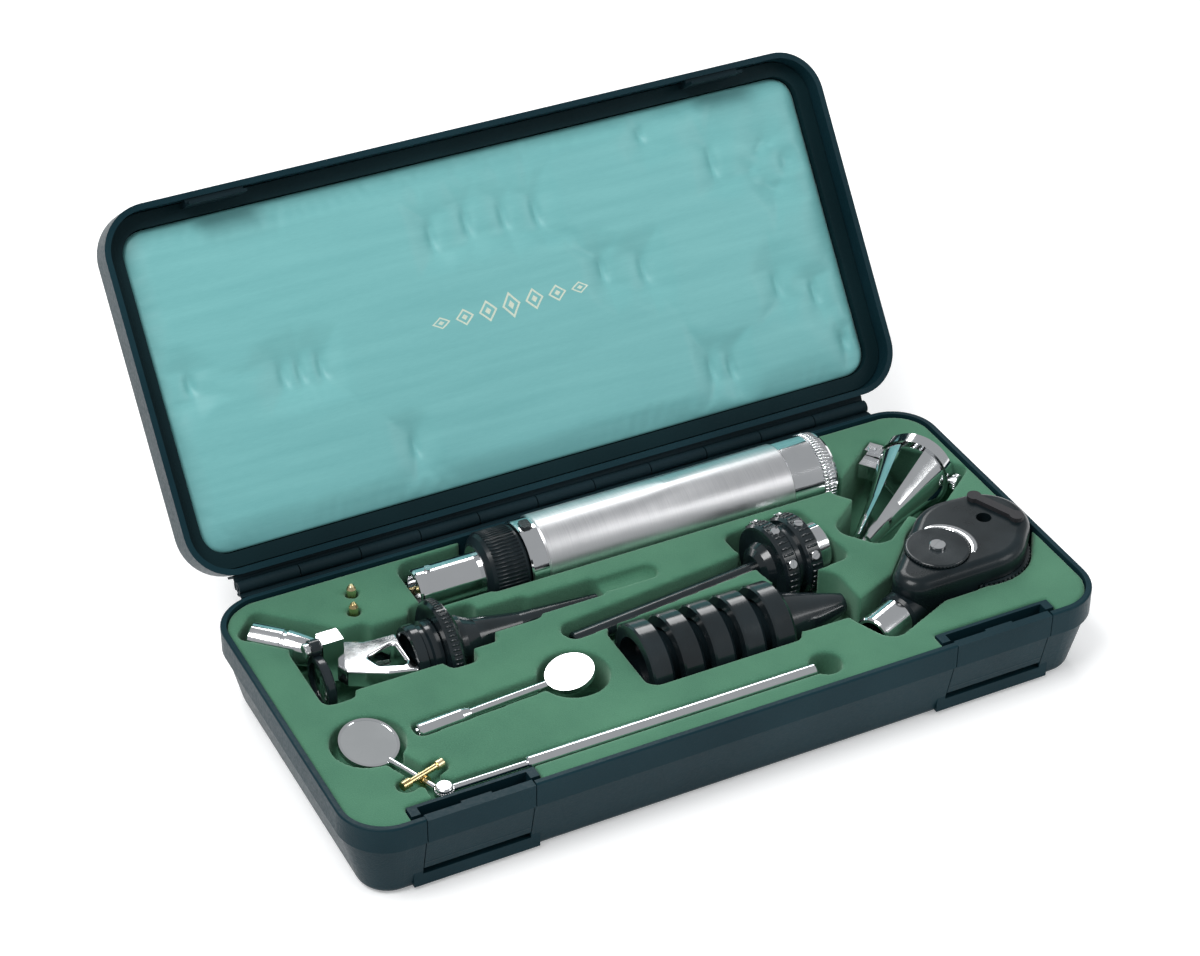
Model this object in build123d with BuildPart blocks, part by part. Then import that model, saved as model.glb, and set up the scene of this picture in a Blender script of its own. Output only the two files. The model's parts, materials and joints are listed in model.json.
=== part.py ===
"""Cased otoscope set: hinged case, fitted tray and the instruments that lie in it.

Millimetres, +Z up. The origin is the centre of the case's underside, +X runs along the
case and the lid's hinge is on the +Y side. The lid is modelled open, as it rests.
"""
import os
from math import atan2, cos, degrees, radians, sin, sqrt

from build123d import *

os.makedirs("parts", exist_ok=True)

# ---------------------------------------------------------------- driving dimensions
running_fit = 0.05          # radial clearance of a shaft that turns in a bore
pocket_gap = 0.9            # room round an instrument in its pocket
rest_gap = 0.3              # height of an instrument above its pocket's floor

case_length = 265.0
case_depth = 124.0
base_height = 31.0
lid_height = 16.0
corner_radius = 16.0
case_wall = 2.0
lid_wall = 1.8
band_height = 9.0           # straight band below the rim
band_step = 1.0             # how far the lower wall is set back from the band
base_taper = 5.0            # inward lean of the lower wall over its height
foot_round = 3.5
lid_round = 4.0
lid_gap = 0.2               # gap between the two rims when closed
lid_open_angle = 126.9

hinge_out = 4.1             # hinge axis behind the back wall
hinge_up = 0.7              # hinge axis above the base's rim
hinge_span = 236.0
hinge_centre_x = -2.0
knuckle_count = 11
knuckle_radius = 2.1
hinge_pin_radius = 1.0
leaf_thickness = 0.8
leaf_height = 7.0

lining_thickness = 2.0
lining_gap = 0.3
frame_width = 5.0           # border that holds the lining's edge
frame_setback = 6.6         # border below the lid's rim

latch_centre_x = 92.0
latch_width = 35.4
latch_gap = 0.3
latch_thickness = 3.0
latch_bottom = base_height - 22.5   # the latch is set out from the rim down
latch_foot = 1.6            # thickness at the latch's lower edge
latch_pin_height = base_height - 19.5
latch_pin_radius = 0.8
latch_boss_wall = 1.1       # round the pin
boss_gap = 0.4              # between the boss and the notch's back wall
notch_back = 1.2            # thickness of that back wall
latch_nose = (10.0, 1.6, 1.2)   # width, reach, height
notch_depth = 9.5           # notch in the tray behind each latch
notch_floor = base_height - 25.0
cheek = 3.0                 # wall that holds each end of a latch pin
cheek_height = base_height - 1.0   # dark ledge round each latch, level with the tray
latch_top_gap = 0.4         # latch's top edge below the rim
nose_drop = 2.4             # latch's nose below the rim
striker_width = 20.0
striker_reach = 4.2
striker_thickness = 1.0
striker_gap = 0.4           # between the striker and the closed latch

tray_drop = 1.0             # tray top below the rim
tray_gap = 0.25
tray_lift = 0.4             # tray underside above the floor
tray_top = base_height - tray_drop

handle_radius = 13.8
handle_wall = 0.6
handle_x = -67.0            # tip of the neck
handle_y = 44.6
handle_z = tray_top - 2.5   # heights of the instruments are set from the tray's top
neck_length = 22.0
neck_radius = 7.0
neck_bore = 5.4
spigot_radius = 9.0
rheostat_length = 15.0
rheostat_radius = 12.6
ring_length = 6.0
ring_radius = 13.3
tube_length = 92.0
cap_length = 18.0
cap_overlap = 6.0
cap_floor = 2.2
cap_step = 3.0              # cap's wall beyond its thread
cap_skin = 0.3              # cap's wall over the tube
spring_room = 2.5           # between the spring's centre line and the cap
spring_wire = 0.45
spring_turns = 3
button_length = 3.4
button_width = 4.4
button_rise = 0.9
button_clear = 0.1
contact_radius = 1.5
cell_nub_radius = 2.7
seat_gap = 0.03             # between two seated pieces
cell_length = 50.0
cell_clearance = 0.15

scope_y = 17.8              # otoscope's viewing axis
scope_z = tray_top - 6.0
scope_disc_x = -72.0        # back of the big speculum's flange
scope_disc_radius = 16.0
scope_disc_thickness = 6.0
scope_cone_length = 52.0
scope_ring_length = 9.0
scope_ring_radius = 10.5
scope_ring_bore = 8.0
scope_lens_x = -112.0
scope_lens_radius = 9.5
scope_lens_thickness = 3.0
lens_glass_radius = 7.4
scope_elbow = (-100.0, 27.0)
scope_socket_length = 31.0
scope_socket_yaw = 136.0
scope_socket_radius = 6.0
lens_pivot_offset = (6.0, 10.0)   # pivot from the viewing axis, in y and z
pivot_radius = 1.2

wand_tip = (-31.0, 0.8)     # long illuminator
wand_z = tray_top - 5.0
wand_yaw = 5.9
wand_tube_radius = 3.0
wand_tube_length = 74.0
wand_head_radius = 14.4
wand_waist_radius = 11.6
wand_socket_radius = 8.0

nest_x = -19.0              # nested ear specula
nest_y = -19.0
nest_z = tray_top - 6.0
nest_count = 5
nest_pitch = 11.0
speculum_flange_radius = 14.8
speculum_flange = 7.6
speculum_cone_start = 5.6   # from the flange's face
speculum_cone_length = 32.0
speculum_root_radius = 11.2
speculum_tip_radius = 3.4
speculum_wall = 1.1

rod_y = -50.0               # long-handled throat mirror
rod_z = tray_top - 1.2
rod_x = (-71.6, 29.0)
rod_radius = 2.2
shank_radius = 1.2
clamp_x = -99.0
clamp_radius = 2.8
clamp_gap = 1.0             # lets the mirror's shank swivel over the clamp
clamp_bar_length = 16.0
mirror_place = (-111.0, -21.0)
mirror_tilt = -14.0         # the mirrors rise away from their handles
mirror_radius = 9.5
mirror_thickness = 1.8
mirror_shank = 1.0
mirror_glass_inset = 1.0

small_mirror_x = (-95.0, -77.0, -50.0)   # ferrule start, ferrule end, stem end
small_mirror_y = -21.5
small_mirror_z = tray_top - 1.8
small_mirror_yaw = 4.0
ferrule_radius = 2.7
stem_radius = 1.5
small_mirror_radius = 8.0
small_mirror_tilt = -14.0

nasal_tip = (79.0, 5.0)
nasal_z = tray_top - 5.0
nasal_yaw = 37.0
nasal_length = 44.0
nasal_ring_radius = 12.5
nasal_tip_radius = 3.6
nasal_wall = 1.0
nasal_ring_length = 5.0
nasal_arc = 140.0           # each blade's share of the circle
nasal_pin_radius = 1.0
nasal_screw_radius = 1.2

eye_socket = (57.0, -38.5)  # ophthalmoscope, along its own axis from the socket's mouth
eye_yaw = 23.0
eye_z = tray_top - 6.0
eye_socket_length = 13.0
eye_socket_radius = 6.5
eye_neck_end = 24.0
eye_neck_radius = 7.6
eye_head_at = 53.0
eye_head_radius = 19.0
eye_split_z = eye_z + 4.0
eye_back_z = eye_split_z - 8.5
eye_front_z = eye_split_z + 9.4
wheel_radius = 20.2
wheel_thickness = 3.2
wheel_play = 0.3
wheel_hub_radius = 2.5
wheel_holes = 12
wheel_hole_radius = 1.5
dial_at = (36.5, 1.5)
dial_radius = 10.5
dial_height = 1.2
dial_screw_radius = 2.4

bulb_places = ((-87.0, 49.5), (-90.0, 40.5))
bulb_radius = 1.9
bulb_bottom = tray_top - 12.0
bulb_top = tray_top + 3.5
bulb_cap_height = 7.0       # metal cap of a spare bulb

# ---------------------------------------------------------------- derived places
rim_z = base_height
lower_height = base_height - band_height
taper_angle = degrees(atan2(base_taper, lower_height))
hinge_y = case_depth / 2 + hinge_out
hinge_z = rim_z + hinge_up
closed_rim_z = rim_z + lid_gap
latch_outer_y = -case_depth / 2
latch_centres = (-latch_centre_x, latch_centre_x)


def opened(y, z):
    """Where a point of the closed lid lies when the lid is open."""
    turn_angle = radians(lid_open_angle)
    reach_y = y - hinge_y
    reach_z = z - hinge_z
    return (
        hinge_y + reach_y * cos(turn_angle) + reach_z * sin(turn_angle),
        hinge_z - reach_y * sin(turn_angle) + reach_z * cos(turn_angle),
    )


def lid_level(height):
    """Plane of the open lid, at a height above its rim; y runs towards the hinge."""
    centre = opened(0, closed_rim_z + height)
    lean = radians(lid_open_angle)
    return Plane(origin=(0, *centre), x_dir=(1, 0, 0), z_dir=(0, sin(lean), cos(lean)))


def lying(x, y, z, yaw=0.0, roll=0.0):
    """Plane whose x axis runs along a lying instrument; y is up, rolled to the right by roll."""
    heading = radians(yaw)
    lean = radians(roll)
    return Plane(
        origin=(x, y, z),
        x_dir=(cos(heading), sin(heading), 0),
        z_dir=(cos(lean) * sin(heading), -cos(lean) * cos(heading), -sin(lean)),
    )


def level(x, y, z, yaw=0.0):
    """Level plane whose x axis runs along an instrument."""
    heading = radians(yaw)
    return Plane(origin=(x, y, z), x_dir=(cos(heading), sin(heading), 0), z_dir=(0, 0, 1))


def along(x, y, yaw, distance, side=0.0):
    """Point at a distance along a heading, and to its left by side."""
    heading = radians(yaw)
    return (
        x + distance * cos(heading) - side * sin(heading),
        y + distance * sin(heading) + side * cos(heading),
    )


def turned(plane, outer, inner=None, mode=Mode.ADD, arc=360.0):
    """Round piece about the plane's x axis, from (distance, radius) stations."""
    if inner is None:
        inner = [(outer[0][0], 0), (outer[-1][0], 0)]
    with BuildSketch(plane) as outline:
        with BuildLine():
            Polyline(*outer, *reversed(inner), close=True)
        make_face()
    revolve(outline.sketch, axis=Axis(plane.origin, plane.x_dir), revolution_arc=arc, mode=mode)


def block(plane, low, high, mode=Mode.ADD):
    """Box between two corners given in a plane's own axes."""
    with BuildSketch(plane.offset(low[2])) as outline:
        with Locations(((low[0] + high[0]) / 2, (low[1] + high[1]) / 2)):
            Rectangle(high[0] - low[0], high[1] - low[1])
    extrude(outline.sketch, amount=high[2] - low[2], mode=mode)


def tapered_body(grow, top):
    """Case-shaped solid: straight band, then the leaning lower wall, all shrunk by -grow."""
    length = case_length + 2 * grow
    depth = case_depth + 2 * grow
    radius = corner_radius + grow
    with BuildSketch(Plane.XY.offset(top)) as band:
        RectangleRounded(length, depth, radius)
    extrude(band.sketch, amount=lower_height - top)
    with BuildSketch(Plane.XY.offset(lower_height)) as lower:
        RectangleRounded(length - 2 * band_step, depth - 2 * band_step, radius - band_step)
    return lower.sketch


def save(builder, name):
    builder.part.label = name
    export_step(builder.part, "parts/" + name + ".step")


# ---------------------------------------------------------------- case base
notch_inner = case_depth / 2 - notch_depth
notch_half = latch_width / 2 + latch_gap
cavity_floor = case_wall
latch_boss = latch_pin_radius + latch_boss_wall
wall_lean = base_taper / lower_height
wall_at_pin = case_depth / 2 - band_step - wall_lean * (lower_height - latch_pin_height)
latch_pin_y = latch_boss - wall_at_pin
notch_end_y = latch_pin_y + latch_boss + boss_gap
cheek_inner = notch_end_y + notch_back

with BuildPart() as cavity_tool:
    cavity_top = tapered_body(-case_wall, rim_z + 1)
    extrude(cavity_top, amount=-(lower_height - cavity_floor), taper=taper_angle)

with BuildPart() as case_base:
    wall_top = tapered_body(0, rim_z)
    extrude(wall_top, amount=-lower_height, taper=taper_angle)
    fillet(case_base.faces().sort_by(Axis.Z)[0].edges(), radius=foot_round)
    fillet(case_base.faces().sort_by(Axis.Z)[-1].outer_wire().edges(), radius=0.6)
    add(cavity_tool.part, mode=Mode.SUBTRACT)
    for centre_x in latch_centres:
        cheek_low = (centre_x - notch_half - cheek, latch_pin_y - latch_boss + 1.0, cavity_floor - 0.5)
        cheek_high = (centre_x + notch_half + cheek, cheek_inner, cheek_height)
        block(Plane.XY, cheek_low, cheek_high)
        notch_low = (centre_x - notch_half, latch_outer_y - 1, notch_floor)
        notch_high = (centre_x + notch_half, notch_end_y, rim_z + 1)
        block(Plane.XY, notch_low, notch_high, mode=Mode.SUBTRACT)
        pin_start = centre_x - notch_half - cheek / 2
        pin_plane = lying(pin_start, latch_pin_y, latch_pin_height)
        pin_run = 2 * notch_half + cheek
        turned(pin_plane, [(0, latch_pin_radius), (pin_run, latch_pin_radius)], mode=Mode.SUBTRACT)
save(case_base, "case_base")

with BuildPart() as latch_pins:
    for centre_x in latch_centres:
        pin_start = centre_x - notch_half - cheek / 2
        turned(
            lying(pin_start, latch_pin_y, latch_pin_height),
            [(0, latch_pin_radius), (2 * notch_half + cheek, latch_pin_radius)],
        )
save(latch_pins, "latch_pins")


# ---------------------------------------------------------------- latches
def latch_profile():
    """Latch seen from its end: follows the band, the step and the leaning wall."""
    low_y = latch_outer_y + band_step + wall_lean * (lower_height - latch_bottom)
    return [
        (latch_outer_y, rim_z - latch_top_gap),
        (latch_outer_y, lower_height),
        (latch_outer_y + band_step, lower_height),
        (low_y, latch_bottom),
        (low_y + latch_foot, latch_bottom),
        (latch_outer_y + latch_thickness + band_step, lower_height - 1),
        (latch_outer_y + latch_thickness, lower_height + 1),
        (latch_outer_y + latch_thickness, rim_z - latch_top_gap),
    ]


def latch_solid(centre_x):
    """One latch with its pin boss and the nose that holds the striker."""
    with BuildSketch(Plane.YZ.offset(centre_x - latch_width / 2)) as outline:
        with BuildLine():
            Polyline(*latch_profile(), close=True)
        make_face()
        with Locations((latch_pin_y, latch_pin_height)):
            Circle(latch_boss)
    extrude(outline.sketch, amount=latch_width)
    nose_width, nose_reach, nose_height = latch_nose
    nose_y = latch_outer_y + latch_thickness
    nose_low = (centre_x - nose_width / 2, nose_y - 0.5, rim_z - nose_drop)
    nose_high = (centre_x + nose_width / 2, nose_y + nose_reach, rim_z - nose_drop + nose_height)
    block(Plane.XY, nose_low, nose_high)
    bore = latch_pin_radius + running_fit
    bore_plane = lying(centre_x - latch_width / 2 - 1, latch_pin_y, latch_pin_height)
    turned(bore_plane, [(0, bore), (latch_width + 2, bore)], mode=Mode.SUBTRACT)


with BuildPart() as latch_left:
    latch_solid(-latch_centre_x)
save(latch_left, "latch_left")

with BuildPart() as latch_right:
    latch_solid(latch_centre_x)
save(latch_right, "latch_right")

# ---------------------------------------------------------------- lid
with BuildPart() as case_lid:
    with BuildSketch(lid_level(0)):
        RectangleRounded(case_length, case_depth, corner_radius)
    extrude(amount=lid_height)
    lid_top = case_lid.faces().sort_by(Axis(lid_level(0).origin, lid_level(0).z_dir))[-1]
    fillet(lid_top.edges(), radius=lid_round)
    with BuildSketch(lid_level(0)):
        RectangleRounded(
            case_length - 2 * case_wall, case_depth - 2 * case_wall, corner_radius - case_wall
        )
    extrude(amount=lid_height - lid_wall, mode=Mode.SUBTRACT)
save(case_lid, "case_lid")

lining_back = lid_height - lid_wall
lining_length = case_length - 2 * case_wall - 2 * lining_gap
lining_depth = case_depth - 2 * case_wall - 2 * lining_gap
lining_radius = corner_radius - case_wall - lining_gap
lining_face = lining_back - lining_thickness

with BuildPart() as lid_lining:
    with BuildSketch(lid_level(lining_face)):
        RectangleRounded(lining_length, lining_depth, lining_radius)
    extrude(amount=lining_thickness)
save(lid_lining, "lid_lining")

with BuildPart() as lining_frame:
    with BuildSketch(lid_level(frame_setback)):
        RectangleRounded(lining_length, lining_depth, lining_radius)
        RectangleRounded(
            lining_length - 2 * frame_width,
            lining_depth - 2 * frame_width,
            lining_radius - frame_width,
            mode=Mode.SUBTRACT,
        )
    extrude(amount=lining_face - frame_setback)
save(lining_frame, "lining_frame")

striker_face = -case_depth / 2 + latch_thickness + striker_gap
nose_level = -nose_drop - lid_gap   # the nose's underside, from the lid's rim
with BuildPart() as latch_strikers:
    for centre_x in latch_centres:
        half = striker_width / 2
        block(
            lid_level(0),
            (centre_x - half, -case_depth / 2 + case_wall, 0.4),
            (centre_x + half, striker_face + striker_thickness, frame_setback - 0.1),
        )
        block(
            lid_level(0),
            (centre_x - half, striker_face, -striker_reach),
            (centre_x + half, striker_face + striker_thickness, 1.0),
        )
        window_half = latch_nose[0] / 2 + 0.8
        block(
            lid_level(0),
            (centre_x - window_half, striker_face - 1, nose_level - striker_gap),
            (centre_x + window_half, striker_face + 2, nose_level + latch_nose[2] + striker_gap),
            mode=Mode.SUBTRACT,
        )
save(latch_strikers, "latch_strikers")

# ---------------------------------------------------------------- hinge
knuckle_pitch = hinge_span / knuckle_count
knuckle_gap = 0.2
hinge_start = hinge_centre_x - hinge_span / 2


def leaf(plane, start_index, axis_y, axis_z, side):
    """Hinge leaf on the back wall; side is -1 below the axis and +1 above it."""
    wall_y = case_depth / 2
    edge = axis_z + side * (knuckle_radius - 1.1)
    tip = edge + side * leaf_height
    leaf_low = (hinge_start, wall_y, min(edge, tip))
    leaf_high = (hinge_start + hinge_span, wall_y + leaf_thickness, max(edge, tip))
    block(plane, leaf_low, leaf_high)
    for index in range(start_index, knuckle_count, 2):
        left = hinge_start + index * knuckle_pitch + knuckle_gap
        right = hinge_start + (index + 1) * knuckle_pitch - knuckle_gap
        web = sorted((axis_z + side * knuckle_radius, axis_z + side * (knuckle_radius - 0.9)))
        block(plane, (left, wall_y, web[0]), (right, axis_y, web[1]))
        origin = plane.from_local_coords(Vector(left, axis_y, axis_z))
        barrel = Plane(origin=origin, x_dir=(1, 0, 0), z_dir=(0, -1, 0))
        length = right - left
        bore = hinge_pin_radius + running_fit
        turned(
            barrel,
            [(0, knuckle_radius), (length, knuckle_radius)],
            [(0, bore), (length, bore)],
        )


with BuildPart() as hinge_base_leaf:
    leaf(Plane.XY, 0, hinge_y, hinge_z, -1)
save(hinge_base_leaf, "hinge_base_leaf")

with BuildPart() as hinge_lid_leaf:
    leaf(lid_level(0), 1, hinge_y, hinge_z - closed_rim_z, 1)
save(hinge_lid_leaf, "hinge_lid_leaf")

with BuildPart() as hinge_pin:
    turned(
        lying(hinge_start, hinge_y, hinge_z),
        [(0, hinge_pin_radius), (hinge_span, hinge_pin_radius)],
    )
save(hinge_pin, "hinge_pin")

# ---------------------------------------------------------------- battery handle
neck_end = neck_length
rheostat_end = neck_end + rheostat_length
ring_end = rheostat_end + ring_length
tube_end = ring_end + tube_length
cap_end = tube_end + cap_length
tube_bore = handle_radius - handle_wall
cap_bore_radius = handle_radius - cap_skin
handle_axis = lying(handle_x, handle_y, handle_z)

with BuildPart() as handle_neck:
    turned(
        handle_axis,
        [(0, neck_radius - 0.6), (0.8, neck_radius), (neck_end, neck_radius), (neck_end, spigot_radius),
         (ring_end - 1.5, spigot_radius)],
        [(0, neck_bore), (ring_end - 1.5, neck_bore)],
    )
    lug_plane = Plane(origin=(handle_x + 5, handle_y, handle_z), z_dir=(0, 0, 1))
    with BuildSketch(lug_plane.offset(neck_radius - 0.8)):
        Circle(1.3)
    extrude(amount=1.6)
save(handle_neck, "handle_neck")

with BuildPart() as contact_insulator:
    turned(
        handle_axis,
        [(3, neck_bore), (9, neck_bore)],
        [(3, contact_radius), (9, contact_radius)],
    )
save(contact_insulator, "contact_insulator")

with BuildPart() as contact_pin:
    turned(
        handle_axis,
        [(0.6, contact_radius - 0.6), (1.6, contact_radius), (ring_end - 1.2, contact_radius),
         (ring_end - 1.2, contact_radius + 2), (ring_end, contact_radius + 2)],
    )
save(contact_pin, "contact_pin")

with BuildPart() as rheostat_ring:
    bore = spigot_radius + running_fit
    turned(
        handle_axis,
        [(neck_end + 0.2, neck_radius + 2.6), (neck_end + 1.6, rheostat_radius - 0.8),
         (neck_end + 3, rheostat_radius), (rheostat_end - 1, rheostat_radius),
         (rheostat_end - 0.2, rheostat_radius - 0.8)],
        [(neck_end + 0.2, bore), (rheostat_end - 0.2, bore)],
    )
save(rheostat_ring, "rheostat_ring")

with BuildPart() as handle_front_ring:
    turned(
        handle_axis,
        [(rheostat_end, ring_radius - 0.5), (rheostat_end + 0.5, ring_radius), (ring_end, ring_radius),
         (ring_end, tube_bore - seat_gap), (ring_end + 0.6, tube_bore - seat_gap)],
        [(rheostat_end, spigot_radius), (ring_end + 0.6, spigot_radius)],
    )
    button_plane = Plane(origin=(handle_x + (rheostat_end + ring_end) / 2, handle_y, handle_z + ring_radius))
    button_low = (-button_length / 2 - button_clear, -button_width / 2 - button_clear, -2.8)
    button_high = (button_length / 2 + button_clear, button_width / 2 + button_clear, 2)
    block(button_plane, button_low, button_high, mode=Mode.SUBTRACT)
save(handle_front_ring, "handle_front_ring")

with BuildPart() as lock_button:
    block(
        button_plane,
        (-button_length / 2, -button_width / 2, -1.6),
        (button_length / 2, button_width / 2, button_rise),
    )
    fillet(lock_button.edges().filter_by(Axis.Z), radius=0.8)
save(lock_button, "lock_button")

with BuildPart() as handle_tube:
    turned(
        handle_axis,
        [(ring_end, handle_radius - 0.4), (ring_end + 0.6, handle_radius), (tube_end, handle_radius),
         (tube_end, cap_bore_radius - running_fit), (tube_end + cap_overlap, cap_bore_radius - running_fit)],
        [(ring_end, tube_bore), (tube_end + cap_overlap, tube_bore)],
    )
save(handle_tube, "handle_tube")

cell_radius = tube_bore - cell_clearance
cell_start = ring_end + 0.8
cell_stop = cell_start + 2 * cell_length + 0.2
with BuildPart() as end_cap:
    cap_shoulder = cell_stop + 1.2
    turned(
        handle_axis,
        [(tube_end + 0.1, handle_radius), (cap_shoulder + 1.2, handle_radius),
         (cap_shoulder + 1.6, handle_radius - 0.9), (cap_shoulder + 2.8, handle_radius - 0.9),
         (cap_shoulder + 3.2, handle_radius - 0.1), (cap_end - 1.6, handle_radius - 0.1),
         (cap_end - 0.5, handle_radius - 1.1), (cap_end, handle_radius - 3.2), (cap_end, 0)],
        [(tube_end + 0.1, cap_bore_radius), (cap_shoulder, cap_bore_radius),
         (cap_shoulder, cap_bore_radius - cap_step), (cap_end - cap_floor, cap_bore_radius - cap_step),
         (cap_end - cap_floor, 0)],
    )
save(end_cap, "end_cap")

with BuildPart() as battery_cells:
    for index in range(2):
        start = cell_start + index * (cell_length + 0.2)
        turned(
            handle_axis,
            [(start, cell_nub_radius), (start + 1.5, cell_nub_radius), (start + 1.5, cell_radius - 0.6),
             (start + 2.1, cell_radius - 0.02),
             (start + cell_length - 0.6, cell_radius - 0.02), (start + cell_length, cell_radius - 0.6)],
        )
save(battery_cells, "battery_cells")

spring_start = cell_stop + 0.1
spring_height = cap_end - cap_floor - 0.1 - spring_start
spring_radius = cap_bore_radius - cap_step - spring_room
with BuildPart() as cap_spring:
    coil_rise = spring_height - 2 * spring_wire
    coil_start = (handle_x + spring_start + spring_wire, handle_y, handle_z)
    with BuildLine() as coil:
        Helix(
            pitch=coil_rise / spring_turns, height=coil_rise, radius=spring_radius,
            center=coil_start, direction=(1, 0, 0),
        )
    with BuildSketch(Plane(origin=coil.line @ 0, z_dir=coil.line % 0)):
        Circle(spring_wire)
    sweep(path=coil.line, is_frenet=True)
save(cap_spring, "cap_spring")

# ---------------------------------------------------------------- otoscope
scope_axis = lying(0, scope_y, scope_z)
scope_ring_x = scope_disc_x - scope_ring_length
frame_half_thick = 3.0
pivot_y = scope_y + lens_pivot_offset[0]
pivot_z = scope_z + lens_pivot_offset[1]

with BuildPart() as otoscope_frame:
    elbow_x, elbow_y = scope_elbow
    elbow_seat = 5.0
    frame_end = scope_ring_x
    with BuildSketch(Plane.XY.offset(scope_z - frame_half_thick)):
        with BuildLine():
            Polyline(
                along(*scope_elbow, scope_socket_yaw, elbow_seat, 4.4),
                along(*scope_elbow, scope_socket_yaw, elbow_seat, -4.4),
                (elbow_x + 8, scope_y + 11),
                (frame_end, scope_y + scope_ring_radius),
                (frame_end, scope_y - scope_ring_radius),
                (elbow_x + 9, scope_y - 7.5),
                (elbow_x - 2.5, scope_y - 1.0),
                close=True,
            )
        make_face()
        with BuildLine():
            Polyline(
                (elbow_x + 6, scope_y + 3),
                (frame_end - 2.5, scope_y + 6),
                (frame_end - 2.5, scope_y - 6),
                (elbow_x + 8, scope_y - 2.5),
                close=True,
            )
        make_face(mode=Mode.SUBTRACT)
    extrude(amount=2 * frame_half_thick)
    fillet(otoscope_frame.edges().filter_by(Axis.Z), radius=1.4)
    fillet(otoscope_frame.faces().sort_by(Axis.Z)[-1].edges(), radius=1.0)
    block(
        Plane.XY,
        (scope_lens_x + scope_lens_thickness + 0.5, pivot_y - 3, scope_z - frame_half_thick),
        (elbow_x - 1.5, pivot_y + 3, pivot_z + 3),
    )
    pivot_plane = lying(scope_lens_x - 3, pivot_y, pivot_z)
    pivot_run = elbow_x - scope_lens_x + 6
    turned(pivot_plane, [(0, pivot_radius), (pivot_run, pivot_radius)], mode=Mode.SUBTRACT)
save(otoscope_frame, "otoscope_frame")

with BuildPart() as otoscope_socket:
    socket_mouth = along(*scope_elbow, scope_socket_yaw, scope_socket_length)
    socket_axis = lying(*socket_mouth, scope_z, scope_socket_yaw + 180)
    neck_start = scope_socket_length * 0.52
    neck_stop = scope_socket_length - elbow_seat
    turned(
        socket_axis,
        [(0, scope_socket_radius - 0.5), (0.6, scope_socket_radius), (neck_start - 5, scope_socket_radius),
         (neck_start - 5, scope_socket_radius - 0.6), (neck_start - 3.4, scope_socket_radius - 0.6),
         (neck_start - 3.4, scope_socket_radius), (neck_start, scope_socket_radius - 0.4),
         (neck_stop, 4.0)],
        [(0, 4.6), (neck_start - 3, 4.6), (neck_start - 3, 0), (neck_stop, 0)],
    )
save(otoscope_socket, "otoscope_socket")

with BuildPart() as speculum_ring:
    turned(
        scope_axis,
        [(scope_ring_x, scope_ring_radius - 0.6), (scope_ring_x + 0.8, scope_ring_radius),
         (scope_ring_x + 3.2, scope_ring_radius), (scope_ring_x + 3.8, scope_ring_radius - 0.9),
         (scope_ring_x + 5.0, scope_ring_radius - 0.9), (scope_ring_x + 5.6, scope_ring_radius),
         (scope_disc_x - 0.4, scope_ring_radius)],
        [(scope_ring_x, scope_ring_bore), (scope_disc_x - 0.4, scope_ring_bore)],
    )
save(speculum_ring, "speculum_ring")

with BuildPart() as otoscope_lamp:
    lamp_start = elbow_x + 5.5
    turned(
        lying(0, scope_y + 1.0, scope_z),
        [(lamp_start, 1.2), (lamp_start + 5, 1.2), (lamp_start + 5.4, 0.9), (lamp_start + 7.2, 0.8),
         (lamp_start + 7.8, 0.3)],
    )
save(otoscope_lamp, "otoscope_lamp")

with BuildPart() as lens_pivot_screw:
    screw_start = scope_lens_x - 1.9
    turned(
        lying(0, pivot_y, pivot_z),
        [(screw_start, 1.9), (screw_start + 0.4, 2.3), (scope_lens_x - 0.2, 2.3),
         (scope_lens_x - 0.2, pivot_radius), (elbow_x - 1.5, pivot_radius)],
    )
save(lens_pivot_screw, "lens_pivot_screw")

with BuildPart() as lens_rim:
    rim_start = scope_lens_x
    rim_stop = scope_lens_x + scope_lens_thickness
    turned(
        scope_axis,
        [(rim_start, scope_lens_radius - 0.5), (rim_start + 0.5, scope_lens_radius),
         (rim_stop - 0.5, scope_lens_radius), (rim_stop, scope_lens_radius - 0.5)],
        [(rim_start, lens_glass_radius), (rim_stop, lens_glass_radius)],
    )
    tab_plane = Plane.YZ.offset(rim_start)
    with BuildSketch(tab_plane):
        with Locations((pivot_y, pivot_z)):
            Circle(3.0)
    extrude(amount=scope_lens_thickness)
    bore = pivot_radius + running_fit
    through = scope_lens_thickness + 2
    glass_seat = [(rim_start - 1, lens_glass_radius), (rim_stop + 1, lens_glass_radius)]
    turned(lying(rim_start - 1, pivot_y, pivot_z), [(0, bore), (through, bore)], mode=Mode.SUBTRACT)
    turned(scope_axis, glass_seat, mode=Mode.SUBTRACT)
save(lens_rim, "lens_rim")

with BuildPart() as viewing_lens:
    turned(
        scope_axis,
        [(rim_start + 0.4, 3.0), (rim_start + 0.8, lens_glass_radius - 2),
         (rim_start + 1.1, lens_glass_radius), (rim_stop - 0.8, lens_glass_radius),
         (rim_stop - 0.6, lens_glass_radius - 2), (rim_stop - 0.3, 3.0)],
    )
save(viewing_lens, "viewing_lens")

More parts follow.
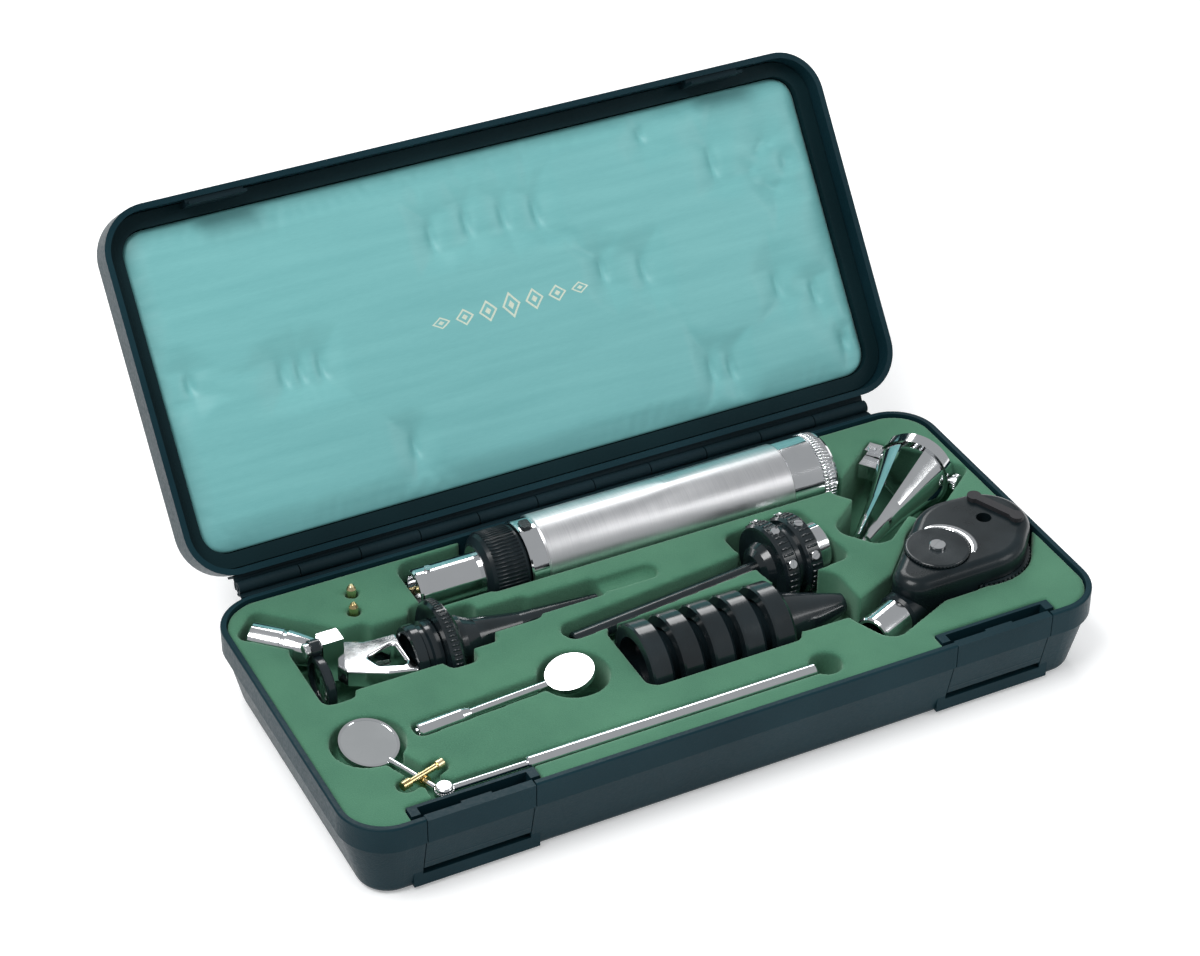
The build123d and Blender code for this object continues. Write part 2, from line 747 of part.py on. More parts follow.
with BuildPart() as fitted_speculum:
    disc_stop = scope_disc_x + scope_disc_thickness
    cone_stop = disc_stop + scope_cone_length
    spigot = scope_ring_bore - running_fit
    turned(
        scope_axis,
        [(scope_disc_x - 6, spigot), (scope_disc_x, spigot), (scope_disc_x, scope_disc_radius - 0.8),
         (scope_disc_x + 0.8, scope_disc_radius), (disc_stop - 2.4, scope_disc_radius),
         (disc_stop - 1.6, scope_disc_radius - 0.8), (disc_stop, scope_disc_radius - 3.4),
         (disc_stop, 9.6), (disc_stop + 3, 9.2), (disc_stop + 8, 6.8), (disc_stop + 24, 4.0),
         (cone_stop, 2.3)],
        [(scope_disc_x - 6, spigot - 1.4), (disc_stop, spigot - 1.4), (disc_stop + 8, 5.4),
         (disc_stop + 24, 2.8), (cone_stop, 1.5)],
    )
save(fitted_speculum, "fitted_speculum")

# ---------------------------------------------------------------- long illuminator
wand_axis = lying(*wand_tip, wand_z, wand_yaw)
wand_collar = wand_tube_length - 4
wand_end = wand_tube_length + 23

with BuildPart() as illuminator_tube:
    turned(
        wand_axis,
        [(0, wand_tube_radius - 0.5), (0.5, wand_tube_radius), (wand_tube_length, wand_tube_radius)],
        [(0, 1.6), (wand_tube_length, 1.6)],
    )
save(illuminator_tube, "illuminator_tube")

with BuildPart() as illuminator_head:
    turned(
        wand_axis,
        [(wand_collar, wand_tube_radius + 2.4), (wand_collar + 1.5, wand_tube_radius + 4.4),
         (wand_tube_length, wand_tube_radius + 5.6), (wand_tube_length, wand_head_radius - 0.8),
         (wand_tube_length + 0.8, wand_head_radius), (wand_tube_length + 5.2, wand_head_radius),
         (wand_tube_length + 6, wand_head_radius - 0.8), (wand_tube_length + 6, wand_waist_radius),
         (wand_tube_length + 9.5, wand_waist_radius), (wand_tube_length + 9.5, wand_head_radius - 1.4),
         (wand_tube_length + 10.3, wand_head_radius - 0.6), (wand_tube_length + 15, wand_head_radius - 0.6),
         (wand_tube_length + 16, wand_head_radius - 2), (wand_tube_length + 18, wand_socket_radius + 1)],
        [(wand_collar, wand_tube_radius + seat_gap), (wand_tube_length, wand_tube_radius + seat_gap),
         (wand_tube_length, wand_socket_radius - 2), (wand_tube_length + 18, wand_socket_radius - 2)],
    )
save(illuminator_head, "illuminator_head")

with BuildPart() as illuminator_socket:
    turned(
        wand_axis,
        [(wand_tube_length + 18, wand_socket_radius), (wand_end - 0.6, wand_socket_radius),
         (wand_end, wand_socket_radius - 0.6)],
        [(wand_tube_length + 18, wand_socket_radius - 1.4), (wand_end, wand_socket_radius - 1.4)],
    )
save(illuminator_socket, "illuminator_socket")

with BuildPart() as illuminator_screws:
    screw_rings = (
        (wand_tube_length + 3, wand_head_radius),
        (wand_tube_length + 12.5, wand_head_radius - 0.6),
    )
    for distance, seat in screw_rings:
        for tilt in (8, 58, -42):
            ring_x, ring_y = along(*wand_tip, wand_yaw, distance)
            across = radians(tilt)
            heading = radians(wand_yaw)
            out = Vector(sin(across) * sin(heading), -sin(across) * cos(heading), cos(across))
            screw_plane = Plane(origin=Vector(ring_x, ring_y, wand_z) + out * (seat - 0.05), z_dir=out)
            with BuildSketch(screw_plane):
                Circle(1.4)
            extrude(amount=0.75)
save(illuminator_screws, "illuminator_screws")


# ---------------------------------------------------------------- nested ear specula
def ear_speculum(start):
    """Hollow ear speculum with its flange at start and its cone pointing to +X."""
    flange_stop = start + speculum_flange
    cone_stop = start + speculum_cone_length
    root = speculum_root_radius
    cone_lean = (root - speculum_tip_radius) / (speculum_cone_length - speculum_cone_start)
    neck = root - cone_lean * (speculum_flange - speculum_cone_start)
    turned(
        lying(0, nest_y, nest_z),
        [(start, speculum_flange_radius - 0.6), (start + 0.6, speculum_flange_radius),
         (flange_stop - 1.2, speculum_flange_radius), (flange_stop, speculum_flange_radius - 1.2),
         (flange_stop, neck), (cone_stop, speculum_tip_radius)],
        [(start, root - speculum_wall + 0.4), (start + speculum_cone_start, root - speculum_wall),
         (cone_stop, speculum_tip_radius - speculum_wall)],
    )


with BuildPart() as ear_speculum_1:
    ear_speculum(nest_x)
save(ear_speculum_1, "ear_speculum_1")

with BuildPart() as ear_speculum_2:
    ear_speculum(nest_x + nest_pitch)
save(ear_speculum_2, "ear_speculum_2")

with BuildPart() as ear_speculum_3:
    ear_speculum(nest_x + 2 * nest_pitch)
save(ear_speculum_3, "ear_speculum_3")

with BuildPart() as ear_speculum_4:
    ear_speculum(nest_x + 3 * nest_pitch)
save(ear_speculum_4, "ear_speculum_4")

with BuildPart() as ear_speculum_5:
    ear_speculum(nest_x + 4 * nest_pitch)
save(ear_speculum_5, "ear_speculum_5")

# ---------------------------------------------------------------- throat mirror
rod_start, rod_stop = rod_x
with BuildPart() as throat_mirror_rod:
    turned(
        lying(0, rod_y, rod_z),
        [(clamp_x + clamp_radius + 0.1, shank_radius), (rod_start, shank_radius),
         (rod_start, rod_radius - 0.4),
         (rod_start + 0.6, rod_radius), (rod_stop - 0.6, rod_radius), (rod_stop, rod_radius - 0.6)],
    )
save(throat_mirror_rod, "throat_mirror_rod")

mirror_x, mirror_y = mirror_place
shank_z = rod_z - 1.0
mirror_z = shank_z - mirror_radius * sin(radians(mirror_tilt))
neck_heading = degrees(atan2(mirror_y - rod_y, mirror_x - clamp_x))


def tilted(x, y, z, yaw, tilt):
    """Plane of a mirror whose near edge, towards its shank, is tipped up by tilt degrees."""
    heading = radians(yaw)
    lean = radians(tilt)
    return Plane(
        origin=(x, y, z),
        x_dir=(-sin(heading), cos(heading), 0),
        z_dir=(sin(lean) * cos(heading), sin(lean) * sin(heading), cos(lean)),
    )


mirror_plane = tilted(mirror_x, mirror_y, mirror_z, neck_heading, mirror_tilt)
neck_run = sqrt((mirror_x - clamp_x) ** 2 + (mirror_y - rod_y) ** 2)
with BuildPart() as mirror_clamp:
    with BuildSketch(Plane.XY.offset(rod_z - 2.6)):
        with Locations((clamp_x, rod_y)):
            Circle(clamp_radius)
    extrude(amount=4.8)
    fillet(mirror_clamp.faces().sort_by(Axis.Z)[-1].edges(), radius=0.8)
save(mirror_clamp, "mirror_clamp")

with BuildPart() as mirror_frame:
    with BuildSketch(mirror_plane.offset(-mirror_thickness)):
        Circle(mirror_radius)
    extrude(amount=mirror_thickness)
    with BuildSketch(mirror_plane.offset(-mirror_glass_inset)):
        Circle(mirror_radius - 0.8)
    extrude(amount=mirror_glass_inset, mode=Mode.SUBTRACT)
    shank_plane = lying(clamp_x, rod_y, shank_z, neck_heading)
    shank_start = clamp_radius + clamp_gap
    turned(shank_plane, [(shank_start, mirror_shank), (neck_run - mirror_radius + 0.9, mirror_shank)])
save(mirror_frame, "mirror_frame")

with BuildPart() as mirror_glass:
    with BuildSketch(mirror_plane.offset(-mirror_glass_inset)):
        Circle(mirror_radius - 0.8)
    extrude(amount=mirror_glass_inset - 0.2)
save(mirror_glass, "mirror_glass")

with BuildPart() as clamp_screw:
    bar_x, bar_y = along(clamp_x, rod_y, neck_heading, 9.0)
    bar_start = along(bar_x, bar_y, neck_heading - 95, clamp_bar_length / 2)
    bar_z = rod_z + 1.2
    turned(
        lying(*bar_start, bar_z, neck_heading + 85),
        [(0, 1.5), (2.4, 1.5), (2.4, 1.0), (clamp_bar_length - 3, 1.0), (clamp_bar_length - 3, 1.5),
         (clamp_bar_length, 1.5)],
    )
    sleeve = mirror_shank + running_fit
    turned(shank_plane, [(7.4, 2.0), (10.6, 2.0)], [(7.4, sleeve), (10.6, sleeve)])
save(clamp_screw, "clamp_screw")

# ---------------------------------------------------------------- small mirror
ferrule_start, ferrule_stop, stem_stop = small_mirror_x
small_axis = lying(ferrule_start, small_mirror_y, small_mirror_z, small_mirror_yaw)
ferrule_run = ferrule_stop - ferrule_start
stem_run = stem_stop - ferrule_start
small_mirror_reach = stem_run + small_mirror_radius * cos(radians(small_mirror_tilt)) + 0.9
with BuildPart() as small_mirror_ferrule:
    turned(
        small_axis,
        [(0, ferrule_radius - 0.5), (0.5, ferrule_radius), (ferrule_run - 3, ferrule_radius),
         (ferrule_run, stem_radius + 0.4)],
        [(0, stem_radius), (ferrule_run, stem_radius)],
    )
save(small_mirror_ferrule, "small_mirror_ferrule")

with BuildPart() as small_mirror_stem:
    turned(small_axis, [(1, stem_radius), (stem_run, stem_radius)])
save(small_mirror_stem, "small_mirror_stem")

small_head = along(ferrule_start, small_mirror_y, small_mirror_yaw, small_mirror_reach)
small_drop = small_mirror_radius * sin(radians(small_mirror_tilt))
small_plane = tilted(*small_head, small_mirror_z - small_drop, small_mirror_yaw, small_mirror_tilt)
with BuildPart() as small_mirror_frame:
    with BuildSketch(small_plane.offset(-mirror_thickness)):
        Circle(small_mirror_radius)
    extrude(amount=mirror_thickness)
    with BuildSketch(small_plane.offset(-mirror_glass_inset)):
        Circle(small_mirror_radius - 0.8)
    extrude(amount=mirror_glass_inset, mode=Mode.SUBTRACT)
save(small_mirror_frame, "small_mirror_frame")

with BuildPart() as small_mirror_glass:
    with BuildSketch(small_plane.offset(-mirror_glass_inset)):
        Circle(small_mirror_radius - 0.8)
    extrude(amount=mirror_glass_inset - 0.2)
save(small_mirror_glass, "small_mirror_glass")

# ---------------------------------------------------------------- nasal speculum
nasal_axis = lying(*nasal_tip, nasal_z, nasal_yaw)
nasal_ring_start = nasal_length
nasal_ring_stop = nasal_length + nasal_ring_length
nasal_hinge_at = nasal_ring_start + nasal_ring_length / 2
nasal_hinge_side = nasal_ring_radius + 3.0
nasal_level = level(*nasal_tip, nasal_z, nasal_yaw)


def nasal_blade(middle, stop):
    """Half funnel of the nasal speculum; middle is the blade's direction round the axis."""
    blade_plane = lying(*nasal_tip, nasal_z, nasal_yaw, middle - nasal_arc / 2)
    waist = nasal_length * 0.45
    turned(
        blade_plane,
        [(0, nasal_tip_radius), (2, nasal_tip_radius + 0.3), (waist, nasal_ring_radius * 0.55),
         (stop, nasal_ring_radius)],
        [(0, nasal_tip_radius - nasal_wall), (2, nasal_tip_radius + 0.3 - nasal_wall),
         (waist, nasal_ring_radius * 0.55 - nasal_wall), (stop, nasal_ring_radius - nasal_wall)],
        arc=nasal_arc,
    )


def nasal_upright(low, high, radius, mode=Mode.ADD):
    """Upright round piece on the nasal speculum's hinge axis."""
    with BuildSketch(nasal_level.offset(low)) as outline:
        with Locations((nasal_hinge_at, nasal_hinge_side)):
            Circle(radius)
    extrude(outline.sketch, amount=high - low, mode=mode)


with BuildPart() as nasal_moving_blade:
    nasal_blade(-90, nasal_ring_start - 0.5)
    block(
        nasal_level,
        (nasal_ring_start - 6, nasal_ring_radius - 2.0, -2.8),
        (nasal_ring_start - 0.5, nasal_hinge_side + 1.6, 2.8),
    )
    block(
        nasal_level,
        (nasal_ring_start - 6, nasal_hinge_side - 1.6, -2.8),
        (nasal_hinge_at, nasal_hinge_side + 1.6, 2.8),
    )
    nasal_upright(-2.8, 2.8, 1.6)
    nasal_upright(-3, 3, nasal_pin_radius + running_fit, mode=Mode.SUBTRACT)
save(nasal_moving_blade, "nasal_moving_blade")

with BuildPart() as nasal_fixed_blade:
    nasal_blade(90, nasal_ring_start + 0.1)
    turned(
        nasal_axis,
        [(nasal_ring_start, nasal_ring_radius + 1.0), (nasal_ring_stop, nasal_ring_radius + 1.0)],
        [(nasal_ring_start, nasal_ring_radius - 1.4), (nasal_ring_stop, nasal_ring_radius - 1.4)],
    )
    for ear_low, ear_high in ((-4.8, -3.0), (3.0, 4.8)):
        block(
            nasal_level,
            (nasal_ring_start, nasal_ring_radius - 0.8, ear_low),
            (nasal_ring_stop, nasal_hinge_side + 2.0, ear_high),
        )
    nasal_upright(-6, 6, nasal_pin_radius, mode=Mode.SUBTRACT)
    screw_place = along(*nasal_tip, nasal_yaw, nasal_hinge_at, -nasal_ring_radius - 1.5)
    screw_seat = lying(*screw_place, nasal_z, nasal_yaw - 90)
    turned(screw_seat, [(-2.5, nasal_screw_radius), (3, nasal_screw_radius)], mode=Mode.SUBTRACT)
save(nasal_fixed_blade, "nasal_fixed_blade")

with BuildPart() as nasal_pivot_pin:
    nasal_upright(-4.8, 4.8, nasal_pin_radius)
    nasal_upright(4.8, 5.4, nasal_pin_radius + 0.7)
save(nasal_pivot_pin, "nasal_pivot_pin")

with BuildPart() as nasal_thumbscrew:
    shaft = nasal_screw_radius - running_fit
    turned(
        screw_seat,
        [(-0.9, shaft), (0, shaft), (0, 2.4), (0.4, 2.8), (2.2, 2.8), (2.6, 2.4)],
    )
save(nasal_thumbscrew, "nasal_thumbscrew")

# ---------------------------------------------------------------- ophthalmoscope
eye_axis = lying(*eye_socket, eye_z, eye_yaw)


def eye_outline(height, shrink=0.0):
    """Teardrop outline of the ophthalmoscope's head, in its own axes."""
    with BuildSketch(level(*eye_socket, height, eye_yaw)) as outline:
        with Locations((eye_neck_end - 1, 0)):
            Circle(eye_neck_radius - shrink)
        with Locations((eye_head_at, 0)):
            Circle(eye_head_radius - shrink)
        with Locations((eye_head_at + 9, 0)):
            Circle(eye_head_radius - 4 - shrink)
        make_hull()
    return outline.sketch


def eye_disc(distance, side, low, high, radius, mode=Mode.ADD):
    """Upright round piece of the ophthalmoscope, at a place along its axis."""
    with BuildSketch(level(*along(*eye_socket, eye_yaw, distance, side), low, eye_yaw)) as outline:
        Circle(radius)
    extrude(outline.sketch, amount=high - low, mode=mode)


wheel_low = eye_split_z - wheel_thickness / 2
wheel_high = eye_split_z + wheel_thickness / 2
wheel_room = wheel_radius + 0.6

with BuildPart() as ophthalmoscope_back:
    extrude(eye_outline(eye_back_z), amount=eye_split_z - eye_back_z)
    fillet(ophthalmoscope_back.faces().sort_by(Axis.Z)[0].edges(), radius=2.2)
    eye_disc(eye_head_at, 0, wheel_low - wheel_play, eye_split_z + 1, wheel_room, mode=Mode.SUBTRACT)
    eye_disc(eye_head_at, 0, wheel_low - wheel_play - 1, wheel_high + wheel_play, wheel_hub_radius)
    eye_disc(eye_head_at + 8, 0, eye_back_z - 1, wheel_low + 1, 2.0, mode=Mode.SUBTRACT)
    turned(
        eye_axis,
        [(eye_socket_length, eye_neck_radius - 1), (eye_socket_length + 1, eye_neck_radius - 0.2),
         (eye_neck_end, eye_neck_radius - 0.2)],
        [(eye_socket_length, 3), (eye_neck_end, 3)],
    )
save(ophthalmoscope_back, "ophthalmoscope_back")

with BuildPart() as ophthalmoscope_front:
    extrude(eye_outline(eye_split_z), amount=eye_front_z - eye_split_z)
    fillet(ophthalmoscope_front.faces().sort_by(Axis.Z)[-1].edges(), radius=4.0)
    eye_disc(eye_head_at, 0, eye_split_z - 1, wheel_high + wheel_play, wheel_room, mode=Mode.SUBTRACT)
    neck_room = [(eye_socket_length - 1, eye_neck_radius), (eye_neck_end + 1, eye_neck_radius)]
    turned(eye_axis, neck_room, mode=Mode.SUBTRACT)
    eye_disc(*dial_at, eye_front_z - 2.4, eye_front_z + 1, dial_radius + 0.3, mode=Mode.SUBTRACT)
    eye_disc(*dial_at, wheel_high + 1.4, eye_front_z - 2.4 + 0.1, dial_screw_radius - 1.0, mode=Mode.SUBTRACT)
    eye_disc(eye_head_at + 8, 0, wheel_low, eye_front_z + 1, 2.6, mode=Mode.SUBTRACT)
save(ophthalmoscope_front, "ophthalmoscope_front")

with BuildPart() as ophthalmoscope_socket:
    turned(
        eye_axis,
        [(0, eye_socket_radius - 0.5), (0.6, eye_socket_radius),
         (eye_socket_length - 0.1, eye_socket_radius)],
        [(0, eye_socket_radius - 1.4), (eye_socket_length - 0.1, eye_socket_radius - 1.4)],
    )
save(ophthalmoscope_socket, "ophthalmoscope_socket")

with BuildPart() as lens_wheel:
    eye_disc(eye_head_at, 0, wheel_low, wheel_high, wheel_radius)
    wheel_bore = wheel_hub_radius + running_fit
    eye_disc(eye_head_at, 0, wheel_low - 1, wheel_high + 1, wheel_bore, mode=Mode.SUBTRACT)
    for index in range(wheel_holes):
        hole_angle = 360 / wheel_holes * index
        hole_x, hole_y = along(eye_head_at, 0, hole_angle, 8)
        eye_disc(hole_x, hole_y, wheel_low - 1, wheel_high + 1, wheel_hole_radius, mode=Mode.SUBTRACT)
save(lens_wheel, "lens_wheel")

with BuildPart() as aperture_dial:
    eye_disc(*dial_at, eye_front_z - 2.2, eye_front_z + dial_height, dial_radius)
    fillet(aperture_dial.faces().sort_by(Axis.Z)[-1].edges(), radius=0.5)
    dial_bore = dial_screw_radius - 1.0 + running_fit
    eye_disc(*dial_at, eye_front_z - 3, eye_front_z + 3, dial_bore, mode=Mode.SUBTRACT)
save(aperture_dial, "aperture_dial")

with BuildPart() as dial_screw:
    eye_disc(*dial_at, wheel_high + 1.6, eye_front_z + dial_height + 0.1, dial_screw_radius - 1.0)
    eye_disc(*dial_at, eye_front_z + dial_height + 0.1, eye_front_z + dial_height + 1.0, dial_screw_radius)
save(dial_screw, "dial_screw")

with BuildPart() as brow_rest:
    for side in (-1, 1):
        eye_disc(eye_head_at + 14.6, side * 8.5, eye_front_z + 0.02, eye_front_z + 1.6, 2.4)
    block(
        level(*eye_socket, 0, eye_yaw),
        (eye_head_at + 13, -8.5, eye_front_z + 0.02),
        (eye_head_at + 16.2, 8.5, eye_front_z + 1.6),
    )
save(brow_rest, "brow_rest")

# ---------------------------------------------------------------- spare bulbs
with BuildPart() as spare_bulbs:
    for bulb_x, bulb_y in bulb_places:
        upright = Plane(origin=(bulb_x, bulb_y, 0), x_dir=(0, 0, 1), z_dir=(0, 1, 0))
        turned(
            upright,
            [(bulb_bottom, bulb_radius - 0.5), (bulb_bottom + 0.5, bulb_radius),
             (bulb_bottom + bulb_cap_height, bulb_radius), (bulb_bottom + bulb_cap_height, bulb_radius - 0.3),
             (bulb_top - 1.6, bulb_radius - 0.3), (bulb_top - 0.5, bulb_radius - 0.9), (bulb_top, 0.5)],
        )
save(spare_bulbs, "spare_bulbs")

# ---------------------------------------------------------------- tray
tray_shrink = -case_wall - tray_gap


def pocket(place, start, stop, half_width, floor, corner=2.0):
    """Pocket along an instrument: place is (x, y, yaw); start and stop run along it."""
    x, y, yaw = place
    middle = (start + stop) / 2
    with BuildSketch(level(x, y, tray_top + 1, yaw)) as outline:
        with Locations((middle, 0)):
            RectangleRounded(stop - start, 2 * half_width, min(corner, half_width - 0.1))
    extrude(outline.sketch, amount=floor - tray_top - 1, mode=Mode.SUBTRACT)


def round_pocket(x, y, radius, floor):
    """Round pocket from the tray's top down to a floor height."""
    with BuildSketch(Plane.XY.offset(tray_top + 1)) as outline:
        with Locations((x, y)):
            Circle(radius)
    extrude(outline.sketch, amount=floor - tray_top - 1, mode=Mode.SUBTRACT)


with BuildPart() as tray:
    tray_lower = tapered_body(tray_shrink, tray_top)
    extrude(tray_lower, amount=-(lower_height - cavity_floor - tray_lift), taper=taper_angle)
    for centre_x in latch_centres:
        block(
            Plane.XY,
            (centre_x - notch_half, -case_depth, cavity_floor),
            (centre_x + notch_half, -notch_inner, tray_top + 1),
            mode=Mode.SUBTRACT,
        )
        block(
            Plane.XY,
            (centre_x - notch_half - cheek - 0.5, -case_depth, 0),
            (centre_x + notch_half + cheek + 0.5, cheek_inner + 0.5, cheek_height + 0.5),
            mode=Mode.SUBTRACT,
        )
    # handle: neck, body and cap
    handle_place = (handle_x, handle_y, 0)
    handle_widest = max(handle_radius, ring_radius, rheostat_radius)
    handle_floor = handle_z - handle_widest - rest_gap
    pocket(handle_place, -2, rheostat_end, rheostat_radius + pocket_gap, handle_floor, 6)
    pocket(handle_place, neck_end - 1, cap_end + 1.5, handle_widest + pocket_gap, handle_floor, 2.5)
    # otoscope: socket, frame, lens, ring, disc and cone
    scope_place = (0, scope_y, 0)
    socket_floor = scope_z - scope_socket_radius - rest_gap
    socket_place = (*socket_mouth, scope_socket_yaw + 180)
    socket_room = scope_socket_radius + pocket_gap + 0.4
    pocket(socket_place, -2.5, scope_socket_length + 3, socket_room, socket_floor, 3)
    frame_floor = scope_z - frame_half_thick - 1
    ring_floor = min(frame_floor, scope_z - scope_ring_radius - 1)
    pocket(scope_place, scope_lens_x + 2, scope_disc_x, scope_ring_radius + 3.0, ring_floor, 3)
    pocket((0, scope_y + 6, 0), scope_lens_x + 2, elbow_x + 12, scope_ring_radius, frame_floor, 3)
    lens_place = (0, scope_y - 1.0, 0)
    lens_floor = scope_z - scope_lens_radius - 1.2
    pocket(lens_place, scope_lens_x - 4.5, scope_lens_x + 7, scope_lens_radius + 6.5, lens_floor, 3.5)
    disc_floor = scope_z - scope_disc_radius - rest_gap
    pocket(scope_place, scope_disc_x - 2.5, disc_stop + 2.5, scope_disc_radius + 1.6, disc_floor, 3.5)
    pocket(scope_place, disc_stop - 1, disc_stop + 12, 11.2, scope_z - 10.5, 3)
    pocket(scope_place, disc_stop + 10, disc_stop + 30, 6.6, scope_z - 7.5, 3)
    pocket(scope_place, disc_stop + 28, cone_stop + 2, 4.8, scope_z - 5, 3)
    pocket(scope_place, cone_stop, cone_stop + 22, 3.6, tray_top - 3.2, 3.5)
    # long illuminator
    wand_place = (*wand_tip, wand_yaw)
    wand_tube_floor = wand_z - wand_tube_radius - 0.8
    wand_head_floor = wand_z - wand_head_radius - rest_gap
    pocket(wand_place, -3.5, wand_tube_length, wand_tube_radius + 1.6, wand_tube_floor, 4)
    pocket(wand_place, wand_collar - 2, wand_end + 1.8, wand_head_radius + 1.3, wand_head_floor, 4)
    # nested specula
    nest_place = (0, nest_y, 0)
    nest_last = nest_x + (nest_count - 1) * nest_pitch
    nest_stop = nest_last + speculum_cone_length
    nest_floor = nest_z - speculum_flange_radius - rest_gap
    nest_room = speculum_flange_radius + 1.6
    pocket(nest_place, nest_x - 3, nest_last + speculum_flange + 1.5, nest_room, nest_floor, 4)
    pocket(nest_place, nest_last + 4, nest_stop + 2.5, speculum_flange_radius - 1.5, nest_floor, 8)
    # throat mirror: rod, finger hole, shank, clamp and mirror
    rod_place = (0, rod_y, 0)
    rod_floor = rod_z - rod_radius - rest_gap
    pocket(rod_place, clamp_x - 5, rod_stop + 1.2, rod_radius + 0.6, rod_floor, 1.6)
    round_pocket(rod_stop + 4, rod_y + 0.6, 5.4, rod_z - 12)
    round_pocket(clamp_x, rod_y, clamp_radius + 2.0, rod_z - 4.2)
    pocket((clamp_x, rod_y, neck_heading), 0, neck_run, 3.4, rod_z - 5.0, 2)
    bar_reach = clamp_bar_length / 2 + 1.5
    pocket((bar_x, bar_y, neck_heading - 95), -bar_reach, bar_reach, 3.2, rod_z - 3.4, 3)
    round_pocket(mirror_x, mirror_y + 0.8, mirror_radius + 2.4, mirror_z - 8)
    # small mirror
    small_place = (ferrule_start, small_mirror_y, small_mirror_yaw)
    ferrule_floor = small_mirror_z - ferrule_radius - rest_gap
    head_x, head_y = small_head
    pocket(small_place, -1.5, stem_run + 2, ferrule_radius + 1.0, ferrule_floor, 2.5)
    round_pocket(head_x + 1.0, head_y - 1.0, small_mirror_radius + 3.6, small_mirror_z - 14)
    # nasal speculum
    nasal_place = (*nasal_tip, nasal_yaw)
    nasal_floor = nasal_z - nasal_ring_radius - 2.2
    pocket(nasal_place, -4, nasal_length * 0.5, 10.0, nasal_floor, 6)
    pocket(nasal_place, nasal_length * 0.35, nasal_ring_stop + 1.5, nasal_hinge_side + 2.8, nasal_floor, 2)
    # ophthalmoscope
    eye_place = (*eye_socket, eye_yaw)
    eye_neck_floor = eye_z - eye_neck_radius - rest_gap - 2
    pocket(eye_place, -3, eye_neck_end + 12, eye_neck_radius + 3.0, eye_neck_floor, 6)
    eye_room = eye_outline(tray_top + 1, -pocket_gap - 0.6)
    extrude(eye_room, amount=eye_back_z - rest_gap - tray_top - 1, mode=Mode.SUBTRACT)
    wheel_pocket = wheel_radius + pocket_gap
    eye_disc(eye_head_at, 0, eye_back_z - rest_gap, tray_top + 1, wheel_pocket, mode=Mode.SUBTRACT)
    for bulb_x, bulb_y in bulb_places:
        round_pocket(bulb_x, bulb_y, bulb_radius + 0.4, bulb_bottom - 0.2)
save(tray, "tray")
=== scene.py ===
import json
import math

import bmesh
import bpy
import numpy as np
from mathutils import Matrix, Vector


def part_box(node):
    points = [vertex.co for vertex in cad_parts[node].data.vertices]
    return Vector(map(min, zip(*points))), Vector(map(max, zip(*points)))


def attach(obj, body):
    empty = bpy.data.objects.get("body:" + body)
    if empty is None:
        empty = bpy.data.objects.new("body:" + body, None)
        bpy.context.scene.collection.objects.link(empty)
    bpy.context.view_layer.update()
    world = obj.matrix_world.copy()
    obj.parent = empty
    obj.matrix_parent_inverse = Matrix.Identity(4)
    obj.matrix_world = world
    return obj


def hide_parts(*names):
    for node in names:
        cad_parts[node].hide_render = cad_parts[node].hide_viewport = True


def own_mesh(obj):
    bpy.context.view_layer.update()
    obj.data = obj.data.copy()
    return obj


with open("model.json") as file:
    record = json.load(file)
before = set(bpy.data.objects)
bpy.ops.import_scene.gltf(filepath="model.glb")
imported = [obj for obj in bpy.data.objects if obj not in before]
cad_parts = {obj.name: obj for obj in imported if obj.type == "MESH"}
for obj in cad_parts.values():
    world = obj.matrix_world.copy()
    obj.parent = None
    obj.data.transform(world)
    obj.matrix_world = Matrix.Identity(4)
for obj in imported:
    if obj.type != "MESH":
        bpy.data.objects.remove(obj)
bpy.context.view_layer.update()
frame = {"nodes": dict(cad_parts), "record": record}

mm = 0.001
nodes = frame["nodes"]
print("frame loaded:", len(nodes), "nodes")


# materials: small helpers, then one function for each finish

def startMaterial(name, **values):
    material = bpy.data.materials.new(name)
    material.use_nodes = True
    tree = material.node_tree
    shader = tree.nodes["Principled BSDF"]
    for socket, value in values.items():
        shader.inputs[socket.replace("_", " ")].default_value = value
    return material, tree, shader


def addNode(tree, kind, inputs=None, **settings):
    node = tree.nodes.new(kind)
    for key, value in settings.items():
        setattr(node, key, value)
    for key, value in (inputs or {}).items():
        if isinstance(value, bpy.types.NodeSocket):
            tree.links.new(value, node.inputs[key])
        else:
            node.inputs[key].default_value = value
    return node


def stretched(tree, vector, scale):
    return addNode(tree, "ShaderNodeMapping", {"Vector": vector, "Scale": scale}).outputs["Vector"]


def objectSpace(tree, scale=(1, 1, 1)):
    return stretched(tree, addNode(tree, "ShaderNodeTexCoord").outputs["Object"], scale)


def noiseField(tree, vector, scale, detail=4.0, roughness=0.5):
    return addNode(
        tree, "ShaderNodeTexNoise",
        {"Vector": vector, "Scale": scale, "Detail": detail, "Roughness": roughness},
    ).outputs["Fac"]


def spread(tree, value, low, high, fromLow=0.3, fromHigh=0.7):
    return addNode(
        tree, "ShaderNodeMapRange",
        {"Value": value, "From Min": fromLow, "From Max": fromHigh, "To Min": low, "To Max": high},
    ).outputs["Result"]


def calc(tree, operation, first, second=0.0):
    return addNode(tree, "ShaderNodeMath", {0: first, 1: second}, operation=operation).outputs[0]


def mixColour(tree, factor, dark, light):
    ramp = addNode(tree, "ShaderNodeMix", data_type="RGBA")
    for index, value in ((0, factor), (6, dark), (7, light)):
        if isinstance(value, bpy.types.NodeSocket):
            tree.links.new(value, ramp.inputs[index])
        else:
            ramp.inputs[index].default_value = value if index == 0 else (*value, 1.0)
    return ramp.outputs[2]


def bumpInto(tree, shader, height, strength, distance):
    bump = addNode(tree, "ShaderNodeBump", {"Height": height, "Strength": strength, "Distance": distance})
    tree.links.new(bump.outputs["Normal"], shader.inputs["Normal"])


